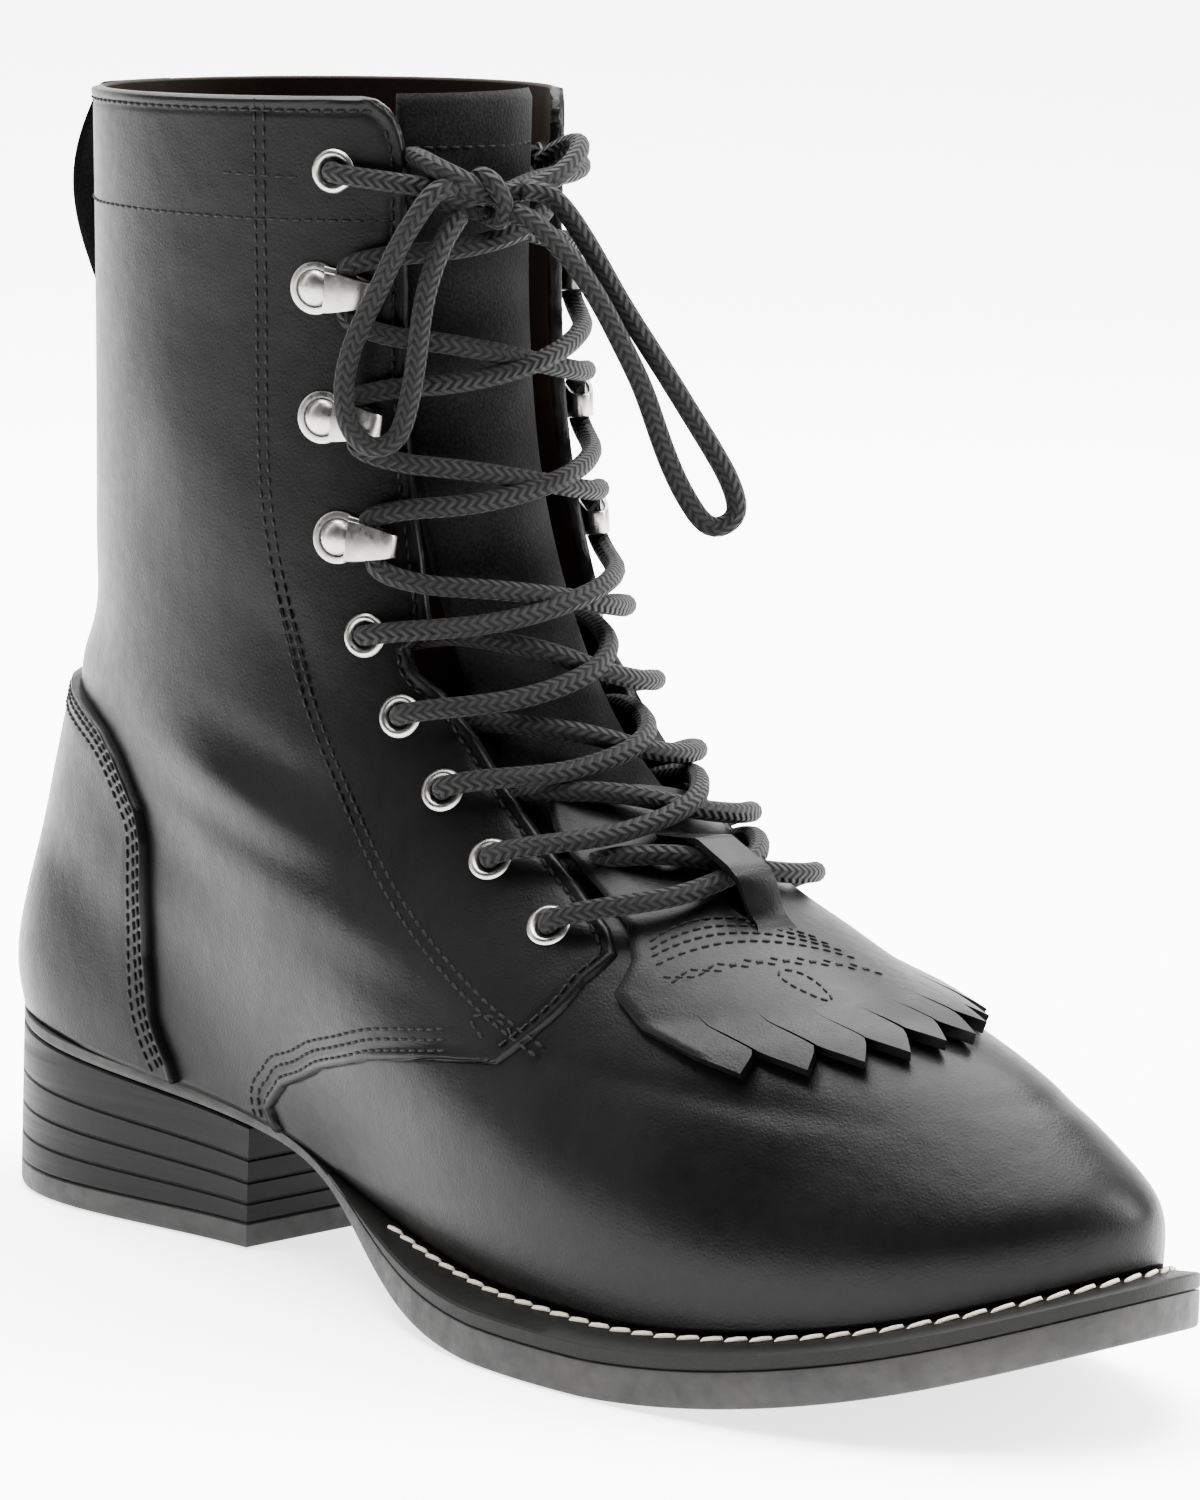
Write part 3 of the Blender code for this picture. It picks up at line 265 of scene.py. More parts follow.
# Double row round the lacing edge: u, v on the outer side
EYESTAY = [
    (1.000, 0.385), (0.954, 0.385), (0.908, 0.385), (0.846, 0.386), (0.765, 0.392), (0.683, 0.400),
    (0.600, 0.403), (0.517, 0.405), (0.429, 0.402), (0.329, 0.400), (0.250, 0.390), (0.208, 0.377),
    (0.186, 0.362),
]
CUFF = [(0.896, 1.0), (0.896, 0.728), (0.904, 0.480), (0.908, 0.333), (0.912, 0.205)]
BARS = [
    [(0.186, 0.398), (0.198, 0.400), (0.210, 0.394), (0.213, 0.384), (0.206, 0.376), (0.194, 0.377)],
    [(0.940, 0.330), (0.940, 0.44)],
]

# Dents and folds: u, v, reach across, reach along, turn, height
CREASES = [
    (0.440, -0.470, 0.030, 0.080, 0.35, -0.0008), (0.395, -0.520, 0.026, 0.090, 0.30, 0.0006),
    (0.350, -0.560, 0.030, 0.100, 0.25, -0.0007), (0.470, 0.480, 0.030, 0.080, -0.35, -0.0008),
    (0.400, 0.530, 0.028, 0.090, -0.30, 0.0006), (0.345, 0.570, 0.030, 0.100, -0.25, -0.0007),
    (0.560, -0.420, 0.050, 0.060, 0.10, -0.0007), (0.640, -0.600, 0.070, 0.090, 0.20, -0.0006),
    (0.740, -0.520, 0.060, 0.070, 0.00, 0.0006), (0.620, 0.560, 0.060, 0.080, -0.20, -0.0007),
    (0.780, 0.620, 0.070, 0.090, 0.10, 0.0006), (0.520, 0.850, 0.050, 0.110, 0.00, -0.0009),
    (0.520, -0.850, 0.050, 0.110, 0.00, -0.0009), (0.455, 0.900, 0.030, 0.120, 0.00, 0.0006),
    (0.455, -0.900, 0.030, 0.120, 0.00, 0.0006), (0.160, -0.260, 0.012, 0.080, 0.20, -0.0004),
    (0.185, 0.240, 0.012, 0.080, -0.15, -0.0004), (0.140, 0.050, 0.010, 0.120, 0.05, -0.0003),
    (0.230, -0.480, 0.040, 0.050, 0.20, -0.0005), (0.230, 0.480, 0.040, 0.050, -0.20, -0.0005),
]

# Path of a hook's strip: x toward the throat and z, then its width
HOOK_PATH = [
    ((0.0020, 0.0006), 0.0094), ((0.0055, 0.0006), 0.0084), ((0.0095, 0.0007), 0.0064),
    ((0.0120, 0.0009), 0.0052), ((0.0131, 0.0022), 0.0048), ((0.0127, 0.0038), 0.0050),
    ((0.0108, 0.0050), 0.0060), ((0.0085, 0.0055), 0.0070), ((0.0060, 0.0058), 0.0080),
    ((0.0042, 0.0062), 0.0084),
]

# Free ends of the lace past the knot, tucked in behind the far lacing edge: u, v toward that side, height
TAILS = {
    -1: [(0.946, 0.020, 0.0098), (0.960, 0.080, 0.0080), (0.963, 0.120, 0.0050), (0.955, 0.150, 0.0000),
         (0.944, 0.168, -0.0040)],
    1: [(0.944, 0.120, 0.0096), (0.953, 0.152, 0.0070), (0.957, 0.172, 0.0010), (0.955, 0.190, -0.0042)],
}

# Stitch pattern on the kiltie
MEDALLION_CENTRE = -0.105
MEDALLION_ARCS = [(0.343, 0.100), (0.335, 0.106), (0.327, 0.112), (0.318, 0.116)]        # u, half width in v

# The photograph's camera, in degrees, millimetres and metres
CAMERA_YAW = 44.494
CAMERA_PITCH = 10.329
CAMERA_ROLL = -1.898
CAMERA_LENS = 180.03
CAMERA_PLACE = (1.15712, -1.06170, 0.38473)

BOOT_MIDDLE = 0.1         # x that the lamps go round
LAMPS = [
    # name, degrees round from the camera, distance, height, height that it aims at, size, watts
    ("key", -82, 1.5, 0.9, 0.10, (0.35, 1.4), 6),
    ("fill", 86, 1.4, 0.8, 0.10, (0.35, 1.2), 34),
    ("front", 6, 0.8, 2.2, 0.10, (1.4, 1.0), 30),
    ("top", 180, 0.5, 2.1, 0.0, (2.4, 2.0), 190),
]
SKY = 0.10                # strength of the white light from all round

LACE_STEP = 0.0011        # between the rings of a lace
LACE_SIDES = 12


# Materials

class Nodes:
    """A short way to write a material's nodes."""

    def __init__(self, name, colour, roughness, metallic=0.0, **sockets):
        self.material = bpy.data.materials.new(name)
        self.material.use_nodes = True
        self.tree = self.material.node_tree
        self.shader = self.tree.nodes["Principled BSDF"]
        self.put(self.shader, {"Base Color": colour, "Roughness": roughness, "Metallic": metallic})
        self.put(self.shader, {name.replace("_", " "): value for name, value in sockets.items()})
        self.place = self.tree.nodes.new("ShaderNodeTexCoord").outputs["Object"]

    def put(self, node, values):
        """Give a node's inputs numbers, colours or other nodes' outputs."""
        for name, value in values.items():
            socket = node.inputs[name]
            if isinstance(value, bpy.types.NodeSocket):
                self.tree.links.new(value, socket)
            elif socket.type == "RGBA":
                socket.default_value = (*value, 1)
            else:
                socket.default_value = value

    def add(self, kind, output, inputs, **settings):
        node = self.tree.nodes.new("ShaderNode" + kind)
        for name, value in settings.items():
            setattr(node, name, value)
        self.put(node, inputs)
        return node.outputs[output]

    def noise(self, scale, detail=3.0, place=None):
        return self.add("TexNoise", "Fac", {"Vector": place or self.place, "Scale": scale, "Detail": detail})

    def cells(self, scale):
        inputs = {"Vector": self.place, "Scale": scale}
        return self.add("TexVoronoi", "Distance", inputs, feature="DISTANCE_TO_EDGE")

    def ramp(self, value, low, high, out_low=0.0, out_high=1.0):
        inputs = {"Value": value, "From Min": low, "From Max": high, "To Min": out_low, "To Max": out_high}
        return self.add("MapRange", "Result", inputs)

    def maths(self, operation, first, second=0.0):
        return self.add("Math", 0, {0: first, 1: second}, operation=operation)

    def blend(self, factor, first, second):
        return self.add("Mix", 2, {0: factor, 6: first, 7: second}, data_type="RGBA")

    def finish(self, colour, *layers, roughness=None):
        """Link the colour, the roughness and the bump layers, each a height and its depth in metres."""
        self.put(self.shader, {"Base Color": colour})
        if roughness is not None:
            self.put(self.shader, {"Roughness": roughness})
        normal = None
        for height, depth in layers:
            inputs = {"Height": height, "Distance": depth, "Strength": 1.0}
            if normal is not None:
                inputs["Normal"] = normal
            normal = self.add("Bump", "Normal", inputs)
        self.put(self.shader, {"Normal": normal})
        return self.material


def leather(name, colour, dust, roughness, coat):
    nodes = Nodes(name, colour, roughness, Coat_Weight=coat, Coat_Roughness=0.30, Specular_IOR_Level=0.16)
    cloud = nodes.noise(28, 5)
    specks = nodes.maths("MULTIPLY", nodes.ramp(nodes.noise(2600, 2), 0.73, 0.80), 0.25)
    shade = nodes.blend(nodes.ramp(cloud, 0.35, 0.75), colour, dust)
    broad = nodes.ramp(cloud, 0.3, 0.7, roughness - 0.06, roughness + 0.06)
    fine = nodes.ramp(nodes.noise(420, 4), 0.3, 0.7, -0.03, 0.03)
    layers = ((nodes.noise(55, 3), 0.0005), (nodes.cells(950), 0.00005), (nodes.noise(2200, 3), 0.00004))
    colour = nodes.blend(specks, shade, (0.10, 0.10, 0.095))
    return nodes.finish(colour, *layers, roughness=nodes.maths("ADD", broad, fine))


def suede(name, colour, nap):
    nodes = Nodes(name, colour, 0.95, Sheen_Weight=0.05, Sheen_Roughness=0.6, Specular_IOR_Level=0.1)
    pile = nodes.noise(1500, 4)
    patch = nodes.noise(45, 3)
    share = nodes.ramp(nodes.maths("ADD", pile, patch), 0.85, 1.25)
    return nodes.finish(nodes.blend(share, colour, nap), (patch, 0.0005), (pile, 0.00025))


def rubber():
    nodes = Nodes("rubber", (0.040, 0.039, 0.037), 0.6)
    cloud = nodes.ramp(nodes.noise(55, 5), 0.35, 0.7)
    colour = nodes.blend(cloud, (0.016, 0.0155, 0.015), (0.027, 0.026, 0.025))
    roughness = nodes.ramp(nodes.noise(300), 0.3, 0.7, 0.52, 0.68)
    layers = ((nodes.noise(500, 4), 0.00012), (nodes.noise(90), 0.0003))
    return nodes.finish(colour, *layers, roughness=roughness)


def stacked():
    """Heel lifts: long, wavy darker lines along the heel."""
    nodes = Nodes("heel", (0.018, 0.0177, 0.0172), 0.5, Specular_IOR_Level=0.2)
    place = nodes.add("Mapping", "Vector", {"Vector": nodes.place, "Scale": (14, 14, 520)})
    grain = nodes.noise(1.0, 5, place)
    colour = nodes.blend(nodes.ramp(grain, 0.35, 0.65), (0.005, 0.005, 0.0049), (0.012, 0.0118, 0.0115))
    roughness = nodes.ramp(grain, 0.3, 0.7, 0.42, 0.60)
    return nodes.finish(colour, (grain, 0.00012), (nodes.noise(700), 0.00004), roughness=roughness)


def nickel():
    nodes = Nodes("nickel", (0.66, 0.65, 0.62), 0.3, metallic=1.0)
    brush = nodes.noise(900, 5)
    colour = nodes.blend(nodes.ramp(nodes.noise(160), 0.35, 0.7), (0.40, 0.395, 0.38), (0.28, 0.275, 0.265))
    return nodes.finish(colour, (brush, 0.000008), roughness=nodes.ramp(brush, 0.3, 0.7, 0.26, 0.40))


def braid():
    """A round braid: columns of slanting plaits that meet in a V, from the lace's own UVs, with painted shade
    in the hollows between the plaits and painted light on their crowns.
    """
    nodes = Nodes("lace", (0.010, 0.010, 0.010), 0.7, Sheen_Weight=0.04, Sheen_Roughness=0.5,
                  Specular_IOR_Level=0.25)
    uv = nodes.add("TexCoord", "UV", {})
    along, turn = (nodes.add("SeparateXYZ", axis, {0: uv}) for axis in "XY")
    column = nodes.maths("PINGPONG", nodes.maths("MULTIPLY", turn, 4.0), 0.5)
    slant = nodes.maths("MULTIPLY", column, 1.56 * 2 * math.pi)
    plait = nodes.maths("SINE", nodes.maths("ADD", nodes.maths("MULTIPLY", along, 4 * math.pi), slant))
    crown = nodes.maths("SINE", nodes.maths("MULTIPLY", column, 2 * math.pi))
    height = nodes.maths("ADD", plait, nodes.maths("MULTIPLY", crown, 0.8))
    # Painted shade and light: the colour follows the braid's height, dark in the hollows between the plaits
    # and light on their crowns.
    colour = nodes.blend(nodes.ramp(height, -0.4, 1.5), (0.0022, 0.0022, 0.0022), (0.016, 0.016, 0.0155))
    return nodes.finish(colour, (height, 0.00022), (nodes.noise(3000), 0.00005))


def thread(name, colour):
    nodes = Nodes(name, colour, 0.6, Specular_IOR_Level=0.3)
    twist = nodes.noise(3500, 3)
    dark, light = ([min(1, part * share) for part in colour] for share in (0.7, 1.3))
    return nodes.finish(nodes.blend(twist, dark, light), (twist, 0.00006))


def paper():
    """The plain white floor."""
    nodes = Nodes("paper", (0.95, 0.95, 0.95), 0.9, Specular_IOR_Level=0.1)
    nodes.put(nodes.shader, {"Emission Color": (1, 1, 1), "Emission Strength": 1.6})
    return nodes.material


MATERIALS = {
    "paper": paper(),
    "leather": leather("leather", (0.0040, 0.0040, 0.0042), (0.0075, 0.0073, 0.0070), 0.38, 0.04),
    "lining": leather("lining", (0.012, 0.007, 0.005), (0.020, 0.012, 0.008), 0.65, 0.0),
    "suede": suede("suede", (0.0045, 0.0045, 0.0048), (0.014, 0.014, 0.0145)),
    "rubber": rubber(),
    "welt": leather("welt", (0.011, 0.011, 0.0105), (0.020, 0.0195, 0.019), 0.50, 0.0),
    "heel": stacked(),
    "insole": leather("insole", (0.045, 0.028, 0.018), (0.065, 0.042, 0.028), 0.65, 0.0),
    "nickel": nickel(),
    "lace": braid(),
    "thread": thread("thread", (0.0045, 0.0045, 0.0045)),
    "welt_thread": thread("welt_thread", (0.62, 0.58, 0.50)),
}


# Curves and heights

def unit(vectors):
    return vectors / np.linalg.norm(vectors, axis=-1, keepdims=True)


def run_lengths(points):
    """Distance from the first point to each point, along them."""
    return np.concatenate([[0], np.cumsum(np.linalg.norm(np.diff(points, axis=0), axis=1))])


def read_off(at, knots, points):
    """Points at places along a run, between those at its knots."""
    return np.stack([np.interp(at, knots, column) for column in points.T], -1)


def wrapped(v):
    """Places past the back, counted from the front of the other side."""
    return np.where(np.abs(v) > 1, v - 2 * np.sign(v), v)


def spline(knots, values, at):
    """Natural cubic spline through the rows of values."""
    k, v, at = np.asarray(knots, float), np.asarray(values, float), np.asarray(at, float)
    count = len(k)
    step = np.diff(k)
    system = np.zeros((count, count))
    system[0, 0] = system[-1, -1] = 1
    right = np.zeros((count,) + v.shape[1:])
    slope = np.diff(v, axis=0) / step.reshape((-1,) + (1,) * (v.ndim - 1))
    for i in range(1, count - 1):
        system[i, i - 1:i + 2] = step[i - 1], 2 * (step[i - 1] + step[i]), step[i]
        right[i] = 6 * (slope[i] - slope[i - 1])
    bend = np.linalg.solve(system, right.reshape(count, -1)).reshape(right.shape)
    i = np.clip(np.searchsorted(k, at, side="right") - 1, 0, count - 2)
    shape = at.shape + (1,) * (v.ndim - 1)
    t = (at - k[i]).reshape(shape)
    width = step[i].reshape(shape)
    a = (bend[i + 1] - bend[i]) / (6 * width)
    b = bend[i] / 2
    c = slope[i] - width * (2 * bend[i] + bend[i + 1]) / 6
    return ((a * t + b) * t + c) * t + v[i]


def sole_heights(x):
    """Underside and top of the outsole, top of the welt's outer edge, and feather line, at a distance x."""
    row = spline(SOLE_ROWS[:, 0], SOLE_ROWS[:, 1:], np.asarray(x) / SOLE_LENGTH)
    under = np.maximum(row[..., 0] * SEAT_HEIGHT + row[..., 1] * TOE_SPRING, 0)
    top = under + row[..., 2] * OUTSOLE_THICKNESS
    welt = top + row[..., 3] * WELT_THICKNESS
    return under, top, welt, welt + row[..., 3] * WELT_RISE + GAP


def feather(x):
    return sole_heights(x)[3]


def foot_units():
    return np.array([HEEL_WIDTH] * 4 + [BALL_WIDTH] * 5) / 200


def swing(x):
    """The bend of the forefoot to the inner side."""
    start = 0.555 * SOLE_LENGTH
    return TOE_SWING * (np.maximum(x - start, 0) / (SOLE_LENGTH - start)) ** 2


def loop_table():
    """Each loop as front x and z, back x and z, sag, then half widths in metres, outer and inner."""
    rows = []
    for front, front_rise, back, back_rise, sag, outer, inner in FOOT_LOOPS:
        rows.append((front, front_rise, back, back_rise, sag, foot_units() * outer, foot_units() * inner))
    for front, front_rise, back, back_rise, sag, widths in SHAFT_LOOPS:
        half = np.array(widths) * SHAFT_WIDTH / 200
        rows.append((front, front_rise, back, back_rise, sag, half, half))
    table = []
    for front, front_rise, back, back_rise, sag, outer, inner in rows:
        x0, x1 = front * SOLE_LENGTH, back * SOLE_LENGTH
        z0, z1 = feather(x0) + front_rise * UPPER_HEIGHT, feather(x1) + back_rise * UPPER_HEIGHT
        table.append([x0, z0, x1, z1, sag, *outer, *inner])
    return np.array(table)


LOOPS = loop_table()
LOOP_U = run_lengths(LOOPS[:, :2]) + run_lengths(LOOPS[:, 2:4])
LOOP_U /= LOOP_U[-1]


def around(v, outer, inner):
    """Share of the length, and sideways place, of the points v of an outline."""
    turn = np.abs(v) * np.pi
    share = (1 + np.cos(turn)) / 2
    weights = spline(WIDTH_SHARES, np.eye(len(WIDTH_SHARES)), share)
    width = np.where((v < 0)[..., None], outer, inner)
    return share, np.where(v < 0, -1, 1) * np.sin(turn) * (weights * width).sum(-1)


def base_surface(u, v):
    """Points of the last, out to the vamp's outer face."""
    u, v = np.broadcast_arrays(np.asarray(u, float), np.asarray(v, float))
    v = wrapped(v)
    row = spline(LOOP_U, LOOPS, u)
    share, y = around(v, row[..., 5:14], row[..., 14:23])
    x = row[..., 2] + (row[..., 0] - row[..., 2]) * share
    z = row[..., 3] + (row[..., 1] - row[..., 3]) * share
    low = LOOPS[0]
    low_x = low[2] + (low[0] - low[2]) * share
    low_z = low[3] + (low[1] - low[3]) * share
    z = z - row[..., 4] * (low_z - feather(low_x))
    return np.stack([x - HEEL_LENGTH / 2, y + swing(x), z], -1)


def normals(u, v):
    """Unit normals of the last, pointing out."""
    u, v = np.broadcast_arrays(np.asarray(u, float), np.asarray(v, float))
    step = 0.004
    low, high = np.maximum(u - step, 0), np.minimum(u + step, 1)
    up = base_surface(high, v) - base_surface(low, v)
    along = base_surface(u, v + step) - base_surface(u, v - step)
    return unit(np.cross(along, up))


def upper_point(u, v, height=0.0):
    """A point at a height over the last."""
    return base_surface(u, v) + normals(u, v) * np.asarray(height)[..., None]


def right_loop():
    """Points of the loop that falls to the inner side."""
    away, aside, up = SOLE_LENGTH * np.array(RIGHT_LOOP).T
    cosine, sine = math.cos(RIGHT_TURN), math.sin(RIGHT_TURN)
    return upper_point(*KNOT) + np.stack([away * cosine + aside * sine, away * sine - aside * cosine, up], -1)


def kiltie_place(u, share, half):
    """Places u, v over the kiltie: even and slanting over its fringe, closed in to the strap above."""
    strap = [-1 + 2 * STRAP_FIRST / STRIPS, -1 + 2 * (STRAP_FIRST + STRAP_STRIPS) / STRIPS]
    closed = np.interp(share, [-1, *strap, 1], [-1, *STRAP_SIDES, 1])
    across = half * (share + (closed - share) * np.interp(u, STRAP_ROWS, (0, 1)))
    return u + FRINGE_SLANT * across * np.interp(u, SLANT_ROWS, (1, 0)), KILTIE_CENTRE + across


def quarter_edge(u):
    table = np.array(QUARTER_EDGE)
    return np.interp(u, table[:, 0], table[:, 1])


def sole_outline(v, inset=0.0):
    """Points x, y of the sole's edge, from the heel's back."""
    share, y = around(v, foot_units() * SOLE_OUTER, foot_units() * SOLE_INNER)
    x = share * SOLE_LENGTH
    return inset_outline(np.stack([x, y + swing(x)], -1), inset)


def feather_outline(v, inset):
    """Points x, y of the line where the upper meets the sole, moved in by inset."""
    place = base_surface(np.zeros_like(v), v)
    return inset_outline(place[:, :2] + [HEEL_LENGTH / 2, 0], inset)


def inset_outline(points, inset):
    along = unit(np.roll(points, -1, axis=0) - np.roll(points, 1, axis=0))
    return points + inset * np.stack([-along[:, 1], along[:, 0]], -1)


def ring_places(count):
    """Evenly spaced v round an outline from the back, none at the very back or front."""
    return -1 + (2 * np.arange(count) + 1) / count


def at_origin(points):
    """Points measured from the heel's back, moved so that the origin is under the heel's middle."""
    return points - np.array([HEEL_LENGTH / 2, 0, 0])


def raised(outline, height):
    """Points x, y with a height from their own x, from the heel's back."""
    return at_origin(np.column_stack([outline, height(outline[:, 0])]))


# Meshes

def grid_faces(number, rows_close=False, columns_close=False):
    """Faces over a grid of point numbers, with its ends joined where they close."""
    if rows_close:
        number = np.concatenate([number, number[..., :1, :]], axis=-2)
    if columns_close:
        number = np.concatenate([number, number[..., :1]], axis=-1)
    corners = [number[..., :-1, :-1], number[..., :-1, 1:], number[..., 1:, 1:], number[..., 1:, :-1]]
    return np.stack(corners, -1)


def numbered(*shape):
    return np.arange(math.prod(shape)).reshape(shape)


def mesh_object(name, points, faces, looks, slots=None, sharp=50):
    """An object from points and groups of faces, with a material slot for each face."""
    used, index = np.unique(np.concatenate([group.ravel() for group in faces]), return_inverse=True)
    lists = []
    start = 0
    for group in faces:
        lists += index[start:start + group.size].reshape(group.shape).tolist()
        start += group.size
    mesh = bpy.data.meshes.new(name)
    mesh.from_pydata(points[used].tolist(), [], lists)
    for look in looks:
        mesh.materials.append(MATERIALS[look])
    if slots is not None:
        mesh.polygons.foreach_set("material_index", np.asarray(slots, np.int32))
    mesh.shade_smooth()
    if sharp:
        mesh.set_sharp_from_angle(angle=math.radians(sharp))
    obj = bpy.data.objects.new(name, mesh)
    bpy.context.scene.collection.objects.link(obj)
    return obj


def shell(name, outer, inner, looks, cells=None, sharp=50):
    """A closed sheet between two grids of points, over the cells that are True, with its last look inside."""
    rows, columns = outer.shape[:2]
    if cells is None:
        cells = np.ones((rows - 1, columns - 1), bool)
    quads = grid_faces(numbered(rows, columns))[cells]
    below = rows * columns
    a = quads.ravel()
    b = np.roll(quads, -1, axis=1).ravel()
    open_edge = ~np.isin(a * below + b, b * below + a)
    a, b = a[open_edge], b[open_edge]
    rim = np.stack([b, a, a + below, b + below], -1)
    points = np.concatenate([outer.reshape(-1, 3), inner.reshape(-1, 3)])
    slots = [0] * len(quads) + [len(looks) - 1] * len(quads) + [0] * len(rim)
    faces = np.concatenate([quads, quads[:, ::-1] + below, rim])
    return mesh_object(name, points, [faces], looks, slots, sharp)


def finish_piece(piece, slot, *nodes):
    """Ride on the boot and stand for CAD nodes; the slot argument is not used."""
    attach(piece, "root")
    if nodes:
        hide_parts(*nodes)
    return piece


# Panels of leather

def nearest(points, line):
    """Distance from each point to the nearest point of a line."""
    flat = points.reshape(-1, 3)
    found = np.empty(len(flat))
    for start in range(0, len(flat), 4000):
        gap = flat[start:start + 4000, None, :] - line[None, :, :]
        found[start:start + 4000] = np.sqrt((gap ** 2).sum(-1).min(1))
    return found.reshape(points.shape[:-1])


def turned_edge(distance, low, high, roll):
    """Height of a panel's face, rounded over from low at its edge to high."""
    share = np.clip(distance / roll, 0, 1)
    return low + (high - low) * np.sqrt(1 - (1 - share) ** 2)


def bump(distance, centre, width):
    return np.exp(-((distance - centre) / width) ** 2)


def crease(u, v):
    """Dents and folds of the leather, in metres."""
    rise = np.zeros(np.broadcast(u, v).shape)
    for u0, v0, du, dv, turn, height in CREASES:
        across = (u - u0) * math.cos(turn) + (v - v0) * math.sin(turn)
        along = -(u - u0) * math.sin(turn) + (v - v0) * math.cos(turn)
        rise = rise + height * np.exp(-(across / du) ** 2 - (along / dv) ** 2)
    return rise


def panel(name, u, v, outer, inner, looks, node):
    """A sheet over the places u, v, between two heights, that stands for a CAD node."""
    piece = shell(name, upper_point(u, v, outer), upper_point(u, v, inner), looks, sharp=0)
    return finish_piece(piece, looks[0], node)


def round_the_back(side, edge):
    """Places v from an edge round the back to its twin, at shares of the way to the back."""
    share = np.concatenate([side - 1, (1 - side)[::-1]])
    return wrapped(1 + share[None, :] * (1 - edge[:, None]))


def quarters():
    """Both quarters and the shaft in one panel, from one lacing edge round the back to the other."""
    levels = [np.linspace(0, 0.93, 138), np.linspace(0.93, 1, 26), np.array(QUARTER_EDGE)[:, 0]]
    u = np.unique(np.concatenate(levels))
    v = round_the_back(np.concatenate([EDGE_SHARES, np.arange(0.074, 1.0, 0.0155)]), quarter_edge(u))
    u = np.broadcast_to(u[:, None], v.shape)
    base = base_surface(u, v)
    fine = np.linspace(0.0, 1, 500)
    edges = [base_surface(fine, sign * quarter_edge(fine)) for sign in (1, -1)]
    gap = nearest(base, np.concatenate([*edges, base[-1]]))
    thick = 0.0003 * bump(gap, 0.0012, 0.0010) - 0.00022 * bump(gap, EDGE_STITCH, 0.0007)
    rise = crease(u, v)
    outer = turned_edge(gap, -EDGE_DROP, QUARTER_STEP, EDGE_DROP) + thick + rise
    inner = turned_edge(gap, -EDGE_DROP, -LINING_DEPTH, 0.0005) + rise
    return panel("quarters", u, v, outer, inner, ["leather", "lining"], "upper")


def vamp():
    """The vamp, from toe to throat, running in under the quarters."""
    u = np.linspace(0, 0.350, 76)[:, None]
    edge = quarter_edge(u)
    v = np.linspace(-1, 1, 151)[None, :] * (edge + 0.03)
    rise = crease(u, v)
    under = np.clip((np.abs(v) - edge) / VAMP_SINK_RUN, 0, 1)
    outer, inner = rise - VAMP_SINK * under, rise - LINING_DEPTH * 0.9
    return panel("vamp", u, v, outer, inner, ["leather", "lining"], "upper")


def counter():
    """The heel counter over the quarters."""
    table = np.array(COUNTER_EDGE)
    u = np.linspace(table[0, 0] - 0.018, table[-1, 0], 92)
    edge = np.interp(u, table[:, 0], table[:, 1])
    v = round_the_back(np.concatenate([EDGE_SHARES * 2.2, np.arange(0.163, 1.0, 0.03)]), edge)
    u = np.broadcast_to(u[:, None], v.shape)
    base = base_surface(u, v)
    gap = nearest(base, np.concatenate([base[:, 0], base[:, -1], base[-1]]))
    rise = crease(u, v)
    groove = sum(bump(gap, place, 0.0006) for place in COUNTER_ROWS)
    high = QUARTER_STEP + LAP_GAP + COUNTER_THICKNESS
    outer = turned_edge(gap, QUARTER_STEP, high, 0.0010) - 0.00018 * groove + rise
    return panel("counter_panel", u, v, outer, QUARTER_STEP - 0.0002 + rise, ["leather"], "counter")


def tongue():
    """The suede tongue."""
    u, v = np.meshgrid(np.linspace(TONGUE_FOOT, 1, 110), np.linspace(*TONGUE_EDGES, 44), indexing="ij")
    sink = np.interp(u, TONGUE_SLOPE, (LINING_DEPTH + GAP, TONGUE_SINK))
    middle = (v - sum(TONGUE_EDGES) / 2) / (TONGUE_EDGES[1] - TONGUE_EDGES[0]) * 2
    wave = 0.0005 * np.sin(u * 40 + v * 9) * (1 - middle ** 2) * np.clip((u - 0.45) * 4, 0, 1)
    base = base_surface(u, v)
    gap = nearest(base, np.concatenate([base[:, 0], base[:, -1], base[-1]]))
    outer, inner = (turned_edge(gap, -TONGUE_THICKNESS / 2, face, 0.0008) - sink + wave
                    for face in (0, -TONGUE_THICKNESS))
    return panel("tongue_panel", u, v, outer, inner, ["suede"], "tongue")


